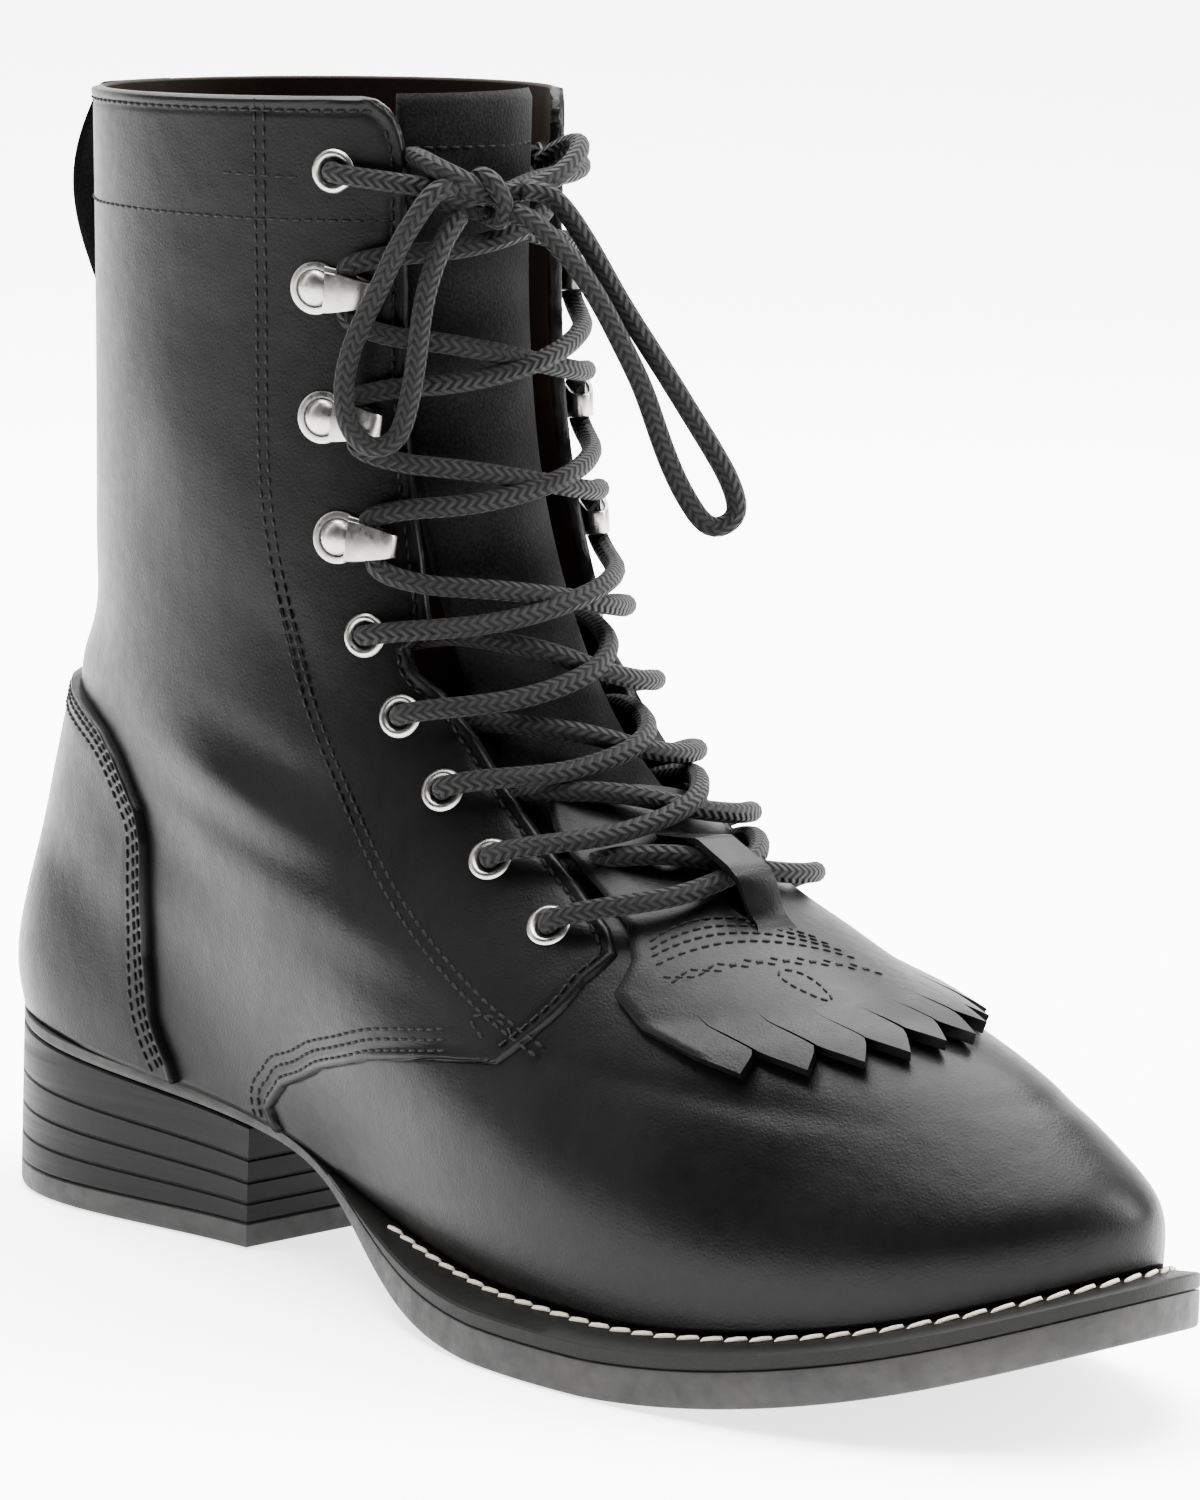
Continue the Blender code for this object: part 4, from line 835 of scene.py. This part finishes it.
def kiltie():
    """The fringed kiltie with its strap over the lowest crossing."""
    across = np.tile(np.linspace(0, 1, STRIP_COLUMNS), STRIPS)
    strip = np.repeat(np.arange(STRIPS), STRIP_COLUMNS)
    place = -1 + 2 * (strip + across) / STRIPS
    tip = 1 - np.abs(2 * across - 1)
    side = (across == 0) * 1 - (across == 1) * 1
    rng = np.random.default_rng(4)
    lift = rng.uniform(0.0, 0.0005, STRIPS) + 0.0003 * (np.abs(np.arange(STRIPS) - STRIPS // 2) > 3)
    low = FRINGE_FOOT - FRINGE_TIP * tip + rng.uniform(-0.002, 0.002, STRIPS)[strip]
    slit_top = rng.uniform(0.240, 0.256, STRIPS)
    rows = np.concatenate([np.linspace(0, 1, 16), np.linspace(1, 2, 60)[1:]])[:, None]
    top = KILTIE_TOP - 0.020 * place ** 2
    row_u = np.where(rows <= 1, low + (KILTIE_MIDDLE - low) * rows,
                     KILTIE_MIDDLE + (top - KILTIE_MIDDLE) * (rows - 1))
    half, height = (np.interp(row_u, KILTIE_ROWS[:, 0], KILTIE_ROWS[:, column]) for column in (1, 2))
    u, v = kiltie_place(row_u, place, half)
    v = v + SLIT_HALF * side * np.clip((slit_top[strip] - row_u) / 0.02, 0.06, 1)
    strap = (strip >= STRAP_FIRST) & (strip < STRAP_FIRST + STRAP_STRIPS)
    strap_rise = np.interp(row_u, *zip(*STRAP_RISE))
    curl = lift[strip] * np.clip((FRINGE_TOP - row_u) / 0.05, 0, 1) ** 1.5
    height = height + BRIDGE_RISE * strap_rise * strap + curl
    cells = np.ones((len(rows) - 1, len(place) - 1), bool)
    for column in range(STRIP_COLUMNS - 1, len(place) - 1, STRIP_COLUMNS):
        cells[row_u[:-1, column] < slit_top[strip[column]], column] = False
    for number in (STRAP_FIRST, STRAP_FIRST + STRAP_STRIPS):
        column = number * STRIP_COLUMNS - 1
        cells[(strap_rise[:-1, column] > 0.02) | (strap_rise[1:, column] > 0.02), column] = False
    swell = FRINGE_SWELL * np.clip((FRINGE_TOP - row_u) / 0.03, 0, 1)
    thick = KILTIE_THICKNESS + swell - 0.0004 * (np.abs(place) > 0.995)
    piece = shell("kiltie_panel", upper_point(u, v, height + thick), upper_point(u, v, height + 0.0001),
                  ["leather", "suede"], cells, sharp=40)
    soften(piece, 0.0003)
    return finish_piece(piece, "leather", "kiltie")


def soften(piece, width, segments=2):
    bevel = piece.modifiers.new("edges", "BEVEL")
    bevel.width = width
    bevel.segments = segments
    bevel.limit_method = "ANGLE"
    bevel.angle_limit = math.radians(40)


def pull_loop():
    """The suede strap loop at the back of the collar."""
    shares = np.linspace(0, 1, 48)
    u = 1 - shares * LOOP_LENGTH / LOOP_RUN
    place = upper_point(u, np.ones_like(u), QUARTER_STEP + GAP + 0 * u)
    x = place[:, 0] - LOOP_BULGE * np.sin(math.pi * shares)
    line = np.stack([x, place[:, 2] - LOOP_DROP], -1)
    along = unit(np.gradient(line, axis=0))
    out = np.stack([along[:, 1], -along[:, 0]], -1)
    y = np.linspace(-1, 1, 14)
    edge = LOOP_THICKNESS * 0.5 * np.sqrt(np.clip(1 - np.abs(y) ** 8, 0, 1))
    middle = line + out * LOOP_THICKNESS / 2
    sides = []
    for sign in (1, -1):
        xz = middle[:, None, :] + out[:, None, :] * (sign * edge)[None, :, None]
        wide = np.broadcast_to(y * LOOP_WIDTH / 2, xz.shape[:2])
        sides.append(np.stack([xz[..., 0], wide, xz[..., 1]], -1))
    piece = shell("pull_loop_strap", sides[0], sides[1], ["suede"], sharp=0)
    return finish_piece(piece, "suede", "pull_loop")


# Sole

def ring_slab(name, rings, look, node):
    """A closed solid through rings of points, with its ends paired across, that stands for a CAD node."""
    rings = np.array(rings)
    number = numbered(*rings.shape[:2])
    count = number.shape[1]
    wall = grid_faces(number, columns_close=True).reshape(-1, 4)
    j = np.arange(count // 2 - 1)
    cap = np.stack([j, j + 1, count - 2 - j, count - 1 - j], -1)
    faces = np.concatenate([wall, cap[:, ::-1], cap + number[-1, 0]])
    return finish_piece(mesh_object(name, rings.reshape(-1, 3), [faces], [look], sharp=30), look, node)


def outsole():
    """The outsole, with its edges softened below and above."""
    v = ring_places(360)
    soft = SOLE_CHAMFER * 0.7
    edges = [
        # inset, share of the thickness, rise
        (soft, 0, 0), (soft * 0.3, 0, soft * 0.3), (0, 0, soft), (0, 0.45, 0), (0, 0.9, 0),
        (0.00012, 0.97, 0), (0.0004, 1, 0),
    ]
    rings = []
    for inset, share, rise in edges:
        outline = sole_outline(v, inset)
        under, top = sole_heights(outline[:, 0])[:2]
        rings.append(at_origin(np.column_stack([outline, under * (1 - share) + top * share + rise])))
    ring_slab("outsole_unit", rings, "rubber", "outsole")


def welt():
    """The welt strip with its slope up to the upper."""
    v = np.linspace(-WELT_REACH, WELT_REACH, 260)
    ring = ring_places(800)
    edge = sole_outline(ring)
    foot, inside = (feather_outline(ring, inset) for inset in (-WELT_CLEARANCE, WELT_INSET))
    lines = [(sole_outline(ring, 0.0004), "under", 0), (edge, "under", 0.0004), (edge, "edge", -0.0005),
             (sole_outline(ring, 0.0005), "edge", 0), (foot, "foot", 0), (inside, "foot", 0),
             (inside, "under", 0)]
    sections = []
    for line, part, shift in lines:
        line = read_off(v, ring, line)
        heights = sole_heights(line[:, 0])
        z = {"under": heights[1] + GAP * 0.3, "edge": heights[2], "foot": heights[3] - GAP}[part] + shift
        sections.append(at_origin(np.column_stack([line, z])))
    number = numbered(len(lines), len(v))
    wall = grid_faces(number, rows_close=True).reshape(-1, 4)
    ends = np.stack([number[::-1, 0], number[:, -1]])
    piece = mesh_object("welt_strip", np.concatenate(sections), [wall, ends], ["welt"], sharp=30)
    return finish_piece(piece, "welt", "welt")


def heel_outline(inset, count=70):
    breast = math.acos(2 * HEEL_LENGTH / SOLE_LENGTH - 1) / math.pi
    v = np.concatenate([np.linspace(-breast, -1, count)[:-1], np.linspace(1, breast, count)[1:]])
    ring = ring_places(1200)
    x, y = read_off(v, ring, sole_outline(ring, inset)).T
    return np.stack([np.minimum(x, HEEL_LENGTH - inset), y], -1)


def heel_level(x, share):
    bottom = TOP_LIFT + GAP * 0.5
    return bottom + share * (sole_heights(x)[0] - GAP * 0.5 - bottom)


def heel():
    """The stacked heel with fine lines between its lifts, and its top lift."""
    edges = [(0.0003, 0, 0), (0, 0, 0.0003)]
    for share in GROOVE_SHARES:
        edges += [(0, share, -0.00045), (0.0004, share, -0.0001), (0.0004, share, 0.0001),
                  (0, share, 0.00045)]
    edges += [(0, 1, -0.0004), (0.0004, 1, 0)]
    rings = [raised(heel_outline(inset), lambda x: heel_level(x, share) + rise)
             for inset, share, rise in edges]
    ring_slab("heel_block", rings, "heel", "heel_stack")
    edges = [(SOLE_CHAMFER, 0), (SOLE_CHAMFER * 0.3, SOLE_CHAMFER * 0.3), (0, SOLE_CHAMFER),
             (0, TOP_LIFT - 0.0004), (0.0004, TOP_LIFT)]
    rings = [raised(heel_outline(inset), lambda x: z + 0 * x) for inset, z in edges]
    ring_slab("heel_cap", rings, "rubber", "heel_top_lift")


# Stitching

def frame_at(u, v):
    """Surface point, two surface derivatives and normal."""
    step = 0.002
    du = (base_surface(u + step, v) - base_surface(u - step, v)) / (2 * step)
    dv = (base_surface(u, v + step) - base_surface(u, v - step)) / (2 * step)
    return base_surface(u, v), du, dv, normals(u, v)


def dense(path, count=400):
    """A smooth, evenly spaced run of u, v through a path's points."""
    path = np.array(path, float)
    knots = run_lengths(path * MM_PER_PLACE)
    return spline(knots, path, np.linspace(0, knots[-1], count))


def offset(path, distance):
    """A path moved sideways over the surface, to the left of its run as seen from outside."""
    u, v = path.T
    point, du, dv, out = frame_at(u, v)
    side = np.cross(out, unit(np.gradient(point, axis=0))) * distance
    a, b, c = (du * du).sum(1), (du * dv).sum(1), (dv * dv).sum(1)
    p, q = (side * du).sum(1), (side * dv).sum(1)
    det = a * c - b * b
    return np.stack([u + (c * p - b * q) / det, v + (a * q - b * p) / det], -1)


def stitch_run(path, height, length=STITCH, gap=STITCH_GAP, radius=THREAD):
    """Stitches along a run of u, v."""
    u, v = path.T
    return run_over(upper_point(u, v, height + 0 * u), normals(u, v), length, gap, radius)


def run_over(point, out, length, gap, radius, slant=0.0):
    """Points of the stitches along a run of points: an array of stitch, ring, side, xyz."""
    knots = run_lengths(point)
    count = max(1, int(knots[-1] / (length + gap)))
    centres = (np.arange(count) + 0.5) * knots[-1] / count
    place, ahead, behind = (read_off(centres + shift, knots, point) for shift in (0, length / 4, -length / 4))
    normal = read_off(centres, knots, out)
    along = unit(ahead - behind)
    side = unit(np.cross(normal, along))
    along = along * math.cos(slant) + side * math.sin(slant)
    side = np.cross(normal, along)
    place, along, side, normal = (part[:, None, None, :] for part in (place, along, side, normal))
    share, size, rise = STITCH_RINGS.T[:, None, :, None, None]
    turn = np.arange(6)[:, None] * math.pi / 3
    return (place + along * (share * length) + side * (np.cos(turn) * size * radius)
            + normal * ((np.sin(turn) * size + rise) * radius))


def stitch_object(name, runs, look, slot):
    """All stitches of the runs in one mesh."""
    cast = np.concatenate(runs)
    number = numbered(*cast.shape[:3])
    wall = grid_faces(number, columns_close=True).reshape(-1, 4)
    caps = np.concatenate([number[:, 0, ::-1], number[:, -1]])
    return finish_piece(mesh_object(name, cast.reshape(-1, 3), [wall, caps], [look], sharp=0), slot)


def upper_stitches():
    """Every row of stitching in the upper's own thread."""
    rows = []
    fine = np.linspace(0, 1, 900)
    for sign in (-1, 1):
        eyestay = dense([(u, sign * v) for u, v in EYESTAY])
        rows += [(offset(eyestay, shift), QUARTER_STEP) for shift in (-EYESTAY_ROW, EYESTAY_ROW)]
        edge = np.stack([fine, sign * quarter_edge(fine)], -1)
        lacing = dense(edge[(fine > 0.172) & (fine < 0.985)][::22], 900)
        rows.append((offset(lacing, -sign * EDGE_STITCH), QUARTER_STEP + 0.0001))
        seam = dense(edge[(fine > 0.010) & (fine < 0.164)][::12], 500)
        rows += [(offset(seam, -sign * shift), QUARTER_STEP) for shift in SEAM_ROWS]
        rows += [(dense([(u, sign * v) for u, v in bar], 60), QUARTER_STEP) for bar in BARS]
    back = np.linspace(-1, 1, 700)
    v = wrapped(1 + back * (1 - COLLAR_FRONT))
    rows.append((np.stack([np.full_like(v, COLLAR_ROW), v], -1), QUARTER_STEP))
    cuff_u, cuff_v = np.array(CUFF)[::-1].T
    v = wrapped(1 + back * (1 - cuff_v[0]))
    rows.append((np.stack([np.interp(np.abs(v), cuff_v, cuff_u), v], -1), QUARTER_STEP))
    top = COUNTER_EDGE[-1][0]
    loop = dense(COUNTER_EDGE + [(top, 1.0)] + [(u, 2 - v) for u, v in COUNTER_EDGE[::-1]], 900)
    rows += [(offset(loop, -shift), QUARTER_STEP + LAP_GAP + COUNTER_THICKNESS) for shift in COUNTER_ROWS]
    v = np.linspace(TONGUE_EDGES[0] + 0.02, TONGUE_EDGES[1] - 0.02, 60)
    rows.append((np.stack([np.full(60, TONGUE_ROW), v], -1), -TONGUE_SINK + 0.0001))
    runs = [stitch_run(path, height) for path, height in rows]
    for line in medallion():
        runs.append(stitch_run(dense(line, 160), KILTIE_THICKNESS + 0.0003, 0.0018, 0.0005, THREAD * 0.85))
    return stitch_object("upper_stitching", runs, "thread", "leather")


def medallion():
    """A plain western stitch pattern on the kiltie: parallel arcs, a stepped line and a leaf."""
    lines = []
    places = np.linspace(-1, 1, 9)
    for u0, half in MEDALLION_ARCS:
        lines.append([(u0 - 0.028 * place ** 2, MEDALLION_CENTRE + place * half) for place in places])
    for low, high in ((0.0, 0.008), (0.008, 0.0)):
        steps = [(0.292 - 0.022 * place ** 2 + (high if k % 2 else low), MEDALLION_CENTRE + place * 0.120)
                 for k, place in enumerate(places)]
        lines += [[a, b] for a, b in zip(steps, steps[1:])]
    turn = np.linspace(0, 2 * math.pi, 13)
    across = MEDALLION_CENTRE + 0.014 * np.sin(turn) * (1 - 0.4 * np.cos(turn))
    return lines + [np.stack([0.268 - 0.018 * np.cos(turn), across], -1)]


def welt_stitches():
    """The slanted white stitches along the welt."""
    v = np.linspace(-WELT_REACH + 0.055, WELT_REACH - 0.055, 1500)
    ring = ring_places(1600)
    line = feather_outline(ring, -WELT_CLEARANCE - WELT_STITCH_OUT)
    edge, foot = sole_outline(ring), feather_outline(ring, -WELT_CLEARANCE)
    inside = np.linalg.norm(line - foot, axis=1) / np.maximum(np.linalg.norm(edge - foot, axis=1), 0.001)
    x, y, share = read_off(v, ring, np.column_stack([line, np.clip(inside, 0, 1)])).T
    heights = sole_heights(x)
    z = heights[3] - GAP + (heights[2] - heights[3] + GAP) * share
    point = at_origin(np.column_stack([x, y, z + 0.00025]))
    away = unit((point - [0.13, 0, 0]) * [1, 1, 0])
    run = run_over(point, unit(away * 0.55 + [0, 0, 1]), WELT_STITCH, 0.0004, WELT_THREAD, slant=0.16)
    return stitch_object("welt_stitching", [run], "welt_thread", "welt")


# Hardware

def hardware_frame(u, v, height):
    """A frame on the upper: Z out of the surface, X toward the throat."""
    out = Vector(normals(u, v))
    front = Vector(base_surface(u, v * 0.99) - base_surface(u, v))
    front = (front - out * front.dot(out)).normalized()
    place = Matrix((front, out.cross(front), out)).transposed().to_4x4()
    place.translation = Vector(upper_point(u, v, height))
    return place


def lathe(profile, sides):
    """Points and faces of a profile (radius, height) turned about Z."""
    turn = np.arange(sides) * 2 * math.pi / sides
    radius, height = np.array(profile).T[..., None]
    points = np.stack([radius * np.cos(turn), radius * np.sin(turn), height + 0 * turn], -1)
    faces = grid_faces(numbered(len(profile), sides), rows_close=True, columns_close=True)
    return points.reshape(-1, 3), faces.reshape(-1, 4)


def placed(points, place):
    rotation, origin = np.array(place.to_3x3()), np.array(place.translation)
    return points @ rotation.T + origin


def eyelets():
    """Rolled nickel eyelets, all in one mesh."""
    r, b = EYELET_RADIUS, EYELET_BORE
    ring = [(r - 0.0001, 0.0), (r, 0.0002), (r - 0.0003, 0.0006), (r - 0.0009, 0.00085), (b + 0.0008, 0.0007),
            (b + 0.0003, 0.0004), (b, -0.0002), (b, -EYELET_LENGTH), (b + 0.0004, -EYELET_LENGTH),
            (b + 0.0005, 0.0)]
    points, faces = lathe(ring, 40)
    cast, lists = [], []
    for side, sign in SIDES:
        for u, v in LOWER_EYELETS + [TOP_EYELET]:
            lists.append(faces + len(points) * len(cast))
            cast.append(placed(points, hardware_frame(u, sign * v, QUARTER_STEP + 0.0001)))
    piece = mesh_object("eyelets", np.concatenate(cast), [np.concatenate(lists)], ["nickel"], sharp=60)
    nodes = [f"eyelet_{side}_{number}" for side, sign in SIDES for number in range(1, 7)]
    return finish_piece(piece, "nickel", *nodes)


def strip_mesh(path, widths, gauge):
    """A metal strip along a path x, z, with a width at each point and rounded edges."""
    along = unit(np.gradient(path, axis=0))
    radius = gauge * 0.3
    section = []
    for corner, (across, up) in enumerate(((1, 1), (-1, 1), (-1, -1), (1, -1))):
        for turn in (0, 45, 90):
            angle = math.radians(90 * corner + turn)
            lift = up * gauge / 2 + radius * (math.sin(angle) - up)
            section.append((across, radius * (math.cos(angle) - across), lift))
    across, aside, lift = np.array(section).T
    points = np.stack([path[:, :1] - along[:, 1:] * lift, across * widths[:, None] / 2 + aside,
                       path[:, 1:] + along[:, :1] * lift], -1)
    number = numbered(*points.shape[:2])
    wall = grid_faces(number, columns_close=True).reshape(-1, 4)
    return points.reshape(-1, 3), wall, np.stack([number[0, ::-1], number[-1]])


def hooks():
    """Speed hooks: a domed rivet in a round base, and a strip folded back into a claw."""
    g = HOOK_GAUGE
    base, dome = HOOK_BASE_RADIUS - 0.0004, RIVET_RADIUS + 0.0004
    disc, disc_faces = lathe([(0.00001, 0), (base - 0.0002, 0), (base, 0.0003), (base - 0.0001, g * 0.7),
                              (base - 0.0005, g * 0.9), (dome + 0.0003, g * 0.9), (dome + 0.0001, g * 0.5),
                              (dome, g * 0.7), (dome * 0.96, g * 1.0), (dome * 0.82, g * 1.5),
                              (dome * 0.55, g * 1.95), (dome * 0.25, g * 2.15), (0.00001, g * 2.2)], 36)
    at = np.linspace(0, len(HOOK_PATH) - 1, 44)
    path, width = (spline(np.arange(len(HOOK_PATH)), column, at) for column in zip(*HOOK_PATH))
    strip, wall, ends = strip_mesh(path, width, g)
    faces = [disc_faces, wall + len(disc), ends + len(disc)]
    for side, sign in SIDES:
        for number, (u, v) in enumerate(HOOKS, 1):
            points = placed(np.concatenate([disc, strip]), hardware_frame(u, sign * v, QUARTER_STEP + 0.0002))
            piece = mesh_object(f"hook_detail_{side}_{number}", points, faces, ["nickel"], sharp=45)
            finish_piece(piece, "nickel", f"hook_{side}_{number}")


# Laces

def sweep(name, route, radius=LACE_DIAMETER / 2, ends=True):
    """A round lace along a smooth curve through the route, with UVs along and round it."""
    route = np.array(route, float)
    knots = run_lengths(route)
    fine = spline(knots, route, np.linspace(0, knots[-1], 40 * len(route)))
    length = run_lengths(fine)
    count = int(length[-1] / LACE_STEP)
    at = np.linspace(0, length[-1], count)
    line = read_off(at, length, fine)
    along = unit(np.gradient(line, axis=0))
    side = np.zeros_like(along)
    side[0] = unit(np.cross(along[0], [0, 0, 1.0]))
    for i in range(1, count):
        side[i] = unit(side[i - 1] - along[i] * (side[i - 1] @ along[i]))
    up = np.cross(along, side)
    size = np.full((count, 1, 1), radius)
    if ends:
        size[[0, -1]] = radius * 0.5
        size[[1, -2]] = radius * 0.85
    turn = np.arange(LACE_SIDES)[:, None] * 2 * math.pi / LACE_SIDES
    rings = (line[:, None, :] + side[:, None, :] * (np.cos(turn) * size)
             + up[:, None, :] * (np.sin(turn) * size))
    number = numbered(count, LACE_SIDES)
    wall = grid_faces(number, columns_close=True)[..., [0, 3, 2, 1]].reshape(-1, 4)
    caps = np.stack([number[0], number[-1, ::-1]])
    obj = mesh_object(name, rings.reshape(-1, 3), [wall, caps], ["lace"], sharp=0)
    corners = np.concatenate([wall.ravel(), caps.ravel()])
    round_it = corners % LACE_SIDES / LACE_SIDES
    over_seam = round_it[:wall.size].reshape(-1, 4)[:, 2:]
    over_seam += over_seam == 0
    round_it[wall.size:] += round_it[wall.size:] < 0.5
    uv = np.stack([at[corners // LACE_SIDES] / LACE_DIAMETER, round_it], -1)
    obj.data.uv_layers.new(name="UVMap").data.foreach_set("uv", uv.ravel())
    return obj, line, float(length[-1])


def lace_route(first):
    """Points of one half of the lace, from under its lowest eyelet on one side to its tail past the knot."""
    places = LOWER_EYELETS + HOOKS + [TOP_EYELET]
    route = []
    sign = first
    for step, (u0, v0, _, edge0, um, hm, edge1, u1, v1, h1) in enumerate(CROSSINGS):
        u, v = places[step]
        next_u, next_v = places[step + 1]
        lift = CROSS_STEP * (-1 if first * (-1) ** step > 0 else 1)
        if step < len(LOWER_EYELETS):
            route += [(u - 0.004, sign * (v + 0.004), -0.0058), (u, sign * v, -0.0020),
                      (u, sign * (v - 0.002), 0.0026),
                      (u * 0.6 + u0 * 0.4, sign * (v * 0.5 + v0 * 0.5), 0.0045)]
        route += [((u0 * 2 + um) / 3, sign * 0.6 * v0, edge0), (um, 0, hm + lift),
                  ((u1 * 2 + um) / 3, -sign * 0.6 * v1, edge1)]
        if places[step + 1] in HOOKS:
            route += [(u1 - 0.002, -sign * 0.235, 0.0050), (next_u - 0.014, -sign * (next_v - 0.045), 0.0046),
                      (next_u, -sign * (next_v - HOOK_GRIP), 0.0041),
                      (next_u + 0.014, -sign * (next_v - 0.045), 0.0046),
                      (next_u + 0.026, -sign * 0.232, 0.0052)]
        else:
            route += [(u1 + 0.001, -sign * (v1 + 0.010), h1 - 0.0012), (u1 + 0.003, -sign * 0.215, -0.0046)]
        sign = -sign
    u, v = TOP_EYELET
    route += [(u, sign * (v + 0.006), -0.0052), (u, sign * v, -0.0010), (u, sign * (v - 0.002), 0.0030),
              (u - 0.003, sign * (v - 0.05), 0.0052)]
    points = [upper_point(*place) for place in route]
    knot = upper_point(*KNOT)
    start = points[-1]
    for share, lift in ((0.35, 0.0025), (0.7, 0.0015), (0.97, 0.0)):
        points.append(start + (knot - start) * share + np.array([lift, 0, 0]))
    return points + [upper_point(u, -first * v, height) for u, v, height in TAILS[first]]


def laces():
    """Both halves of the lace, the bow's loops and the band round its knot."""
    crossings = [f"lace_crossing_{number}" for number in range(1, 9)]
    for side, sign in SIDES:
        piece = sweep(f"lace_{side}", lace_route(sign))[0]
        finish_piece(piece, "lace", *crossings)
    left = [upper_point(*place) for place in LEFT_LOOP]
    for name, route in (("lace_loop_left", left), ("lace_loop_right", right_loop())):
        piece, line, length = sweep(name + "_braid", route, ends=False)
        finish_piece(piece, "lace", name)
    angle = np.linspace(-0.42, 0.46, 16) * 2 * math.pi
    front, up = np.cos(angle), np.sin(angle)
    band = np.stack([front * 0.0036 + 0.0004, 0.0006 - up * 0.0022, up * 0.0046 - 0.0006], -1)
    piece = sweep("lace_knot_wrap", upper_point(*KNOT) + band, radius=LACE_DIAMETER * 0.46)[0]
    finish_piece(piece, "lace", "lace_knot")


# Stage

def backdrop():
    """A pale floor that turns up into a wall."""
    y = np.array([-4.0, -2.0, 0.5, 1.6, 2.2, 2.6, 2.85, 3.0, 3.05])
    z = np.array([0, 0, 0, 0, 0.05, 0.2, 0.5, 1.0, 4.0])
    yaw = math.radians(CAMERA_YAW)
    ahead = np.array([-math.sin(yaw), math.cos(yaw), 0])
    right = np.array([math.cos(yaw), math.sin(yaw), 0])
    across = np.linspace(-5, 5, 3)
    grid = across[None, :, None] * right + y[:, None, None] * ahead + z[:, None, None] * np.array([0, 0, 1])
    quads = grid_faces(numbered(len(grid), 3)).reshape(-1, 4)
    obj = mesh_object("backdrop", grid.reshape(-1, 3), [quads], ["paper"], sharp=0)
    obj.location.z = -0.0002


def lamp(name, place, aim, size, power):
    data = bpy.data.lights.new(name, "AREA")
    data.shape = "RECTANGLE"
    data.size, data.size_y = size
    data.energy = power
    obj = bpy.data.objects.new(name, data)
    obj.location = place
    obj.rotation_euler = (Vector(aim) - Vector(place)).to_track_quat("-Z", "Y").to_euler()
    bpy.context.scene.collection.objects.link(obj)


def around_camera(turn, distance, height):
    """A place at an angle round the boot from the camera, in degrees, to the right."""
    angle = math.radians(CAMERA_YAW - 90 + turn)
    return (BOOT_MIDDLE + distance * math.cos(angle), distance * math.sin(angle), height)


def lights():
    for name, turn, distance, height, aim, size, power in LAMPS:
        lamp(name, around_camera(turn, distance, height), (BOOT_MIDDLE, 0, aim), size, power)
    world = bpy.data.worlds.new("studio")
    bpy.context.scene.world = world
    world.use_nodes = True
    background = world.node_tree.nodes["Background"]
    background.inputs["Color"].default_value = (1, 1, 1, 1)
    background.inputs["Strength"].default_value = SKY


def camera():
    """The photograph's camera."""
    yaw, pitch, roll = (math.radians(a) for a in (CAMERA_YAW, CAMERA_PITCH, CAMERA_ROLL))
    ahead = np.array([-math.sin(yaw) * math.cos(pitch), math.cos(yaw) * math.cos(pitch), -math.sin(pitch)])
    right = np.array([math.cos(yaw), math.sin(yaw), 0])
    down = -np.cross(right, ahead)
    turned_right = right * math.cos(roll) + down * math.sin(roll)
    turned_down = -right * math.sin(roll) + down * math.cos(roll)
    data = bpy.data.cameras.new("camera")
    data.sensor_width = 36
    data.lens = CAMERA_LENS
    obj = bpy.data.objects.new("camera", data)
    place = Matrix((turned_right, -turned_down, -ahead)).transposed().to_4x4()
    place.translation = CAMERA_PLACE
    obj.matrix_world = place
    bpy.context.scene.collection.objects.link(obj)
    bpy.context.scene.camera = obj


def main():
    bpy.context.scene.view_settings.look = "AgX - Medium High Contrast"
    camera()
    laces()
    quarters()
    vamp()
    counter()
    tongue()
    kiltie()
    pull_loop()
    outsole()
    welt()
    heel()
    eyelets()
    hooks()
    upper_stitches()
    welt_stitches()
    bpy.data.objects["insole"].material_slots[0].material = MATERIALS["insole"]
    backdrop()
    lights()


main()
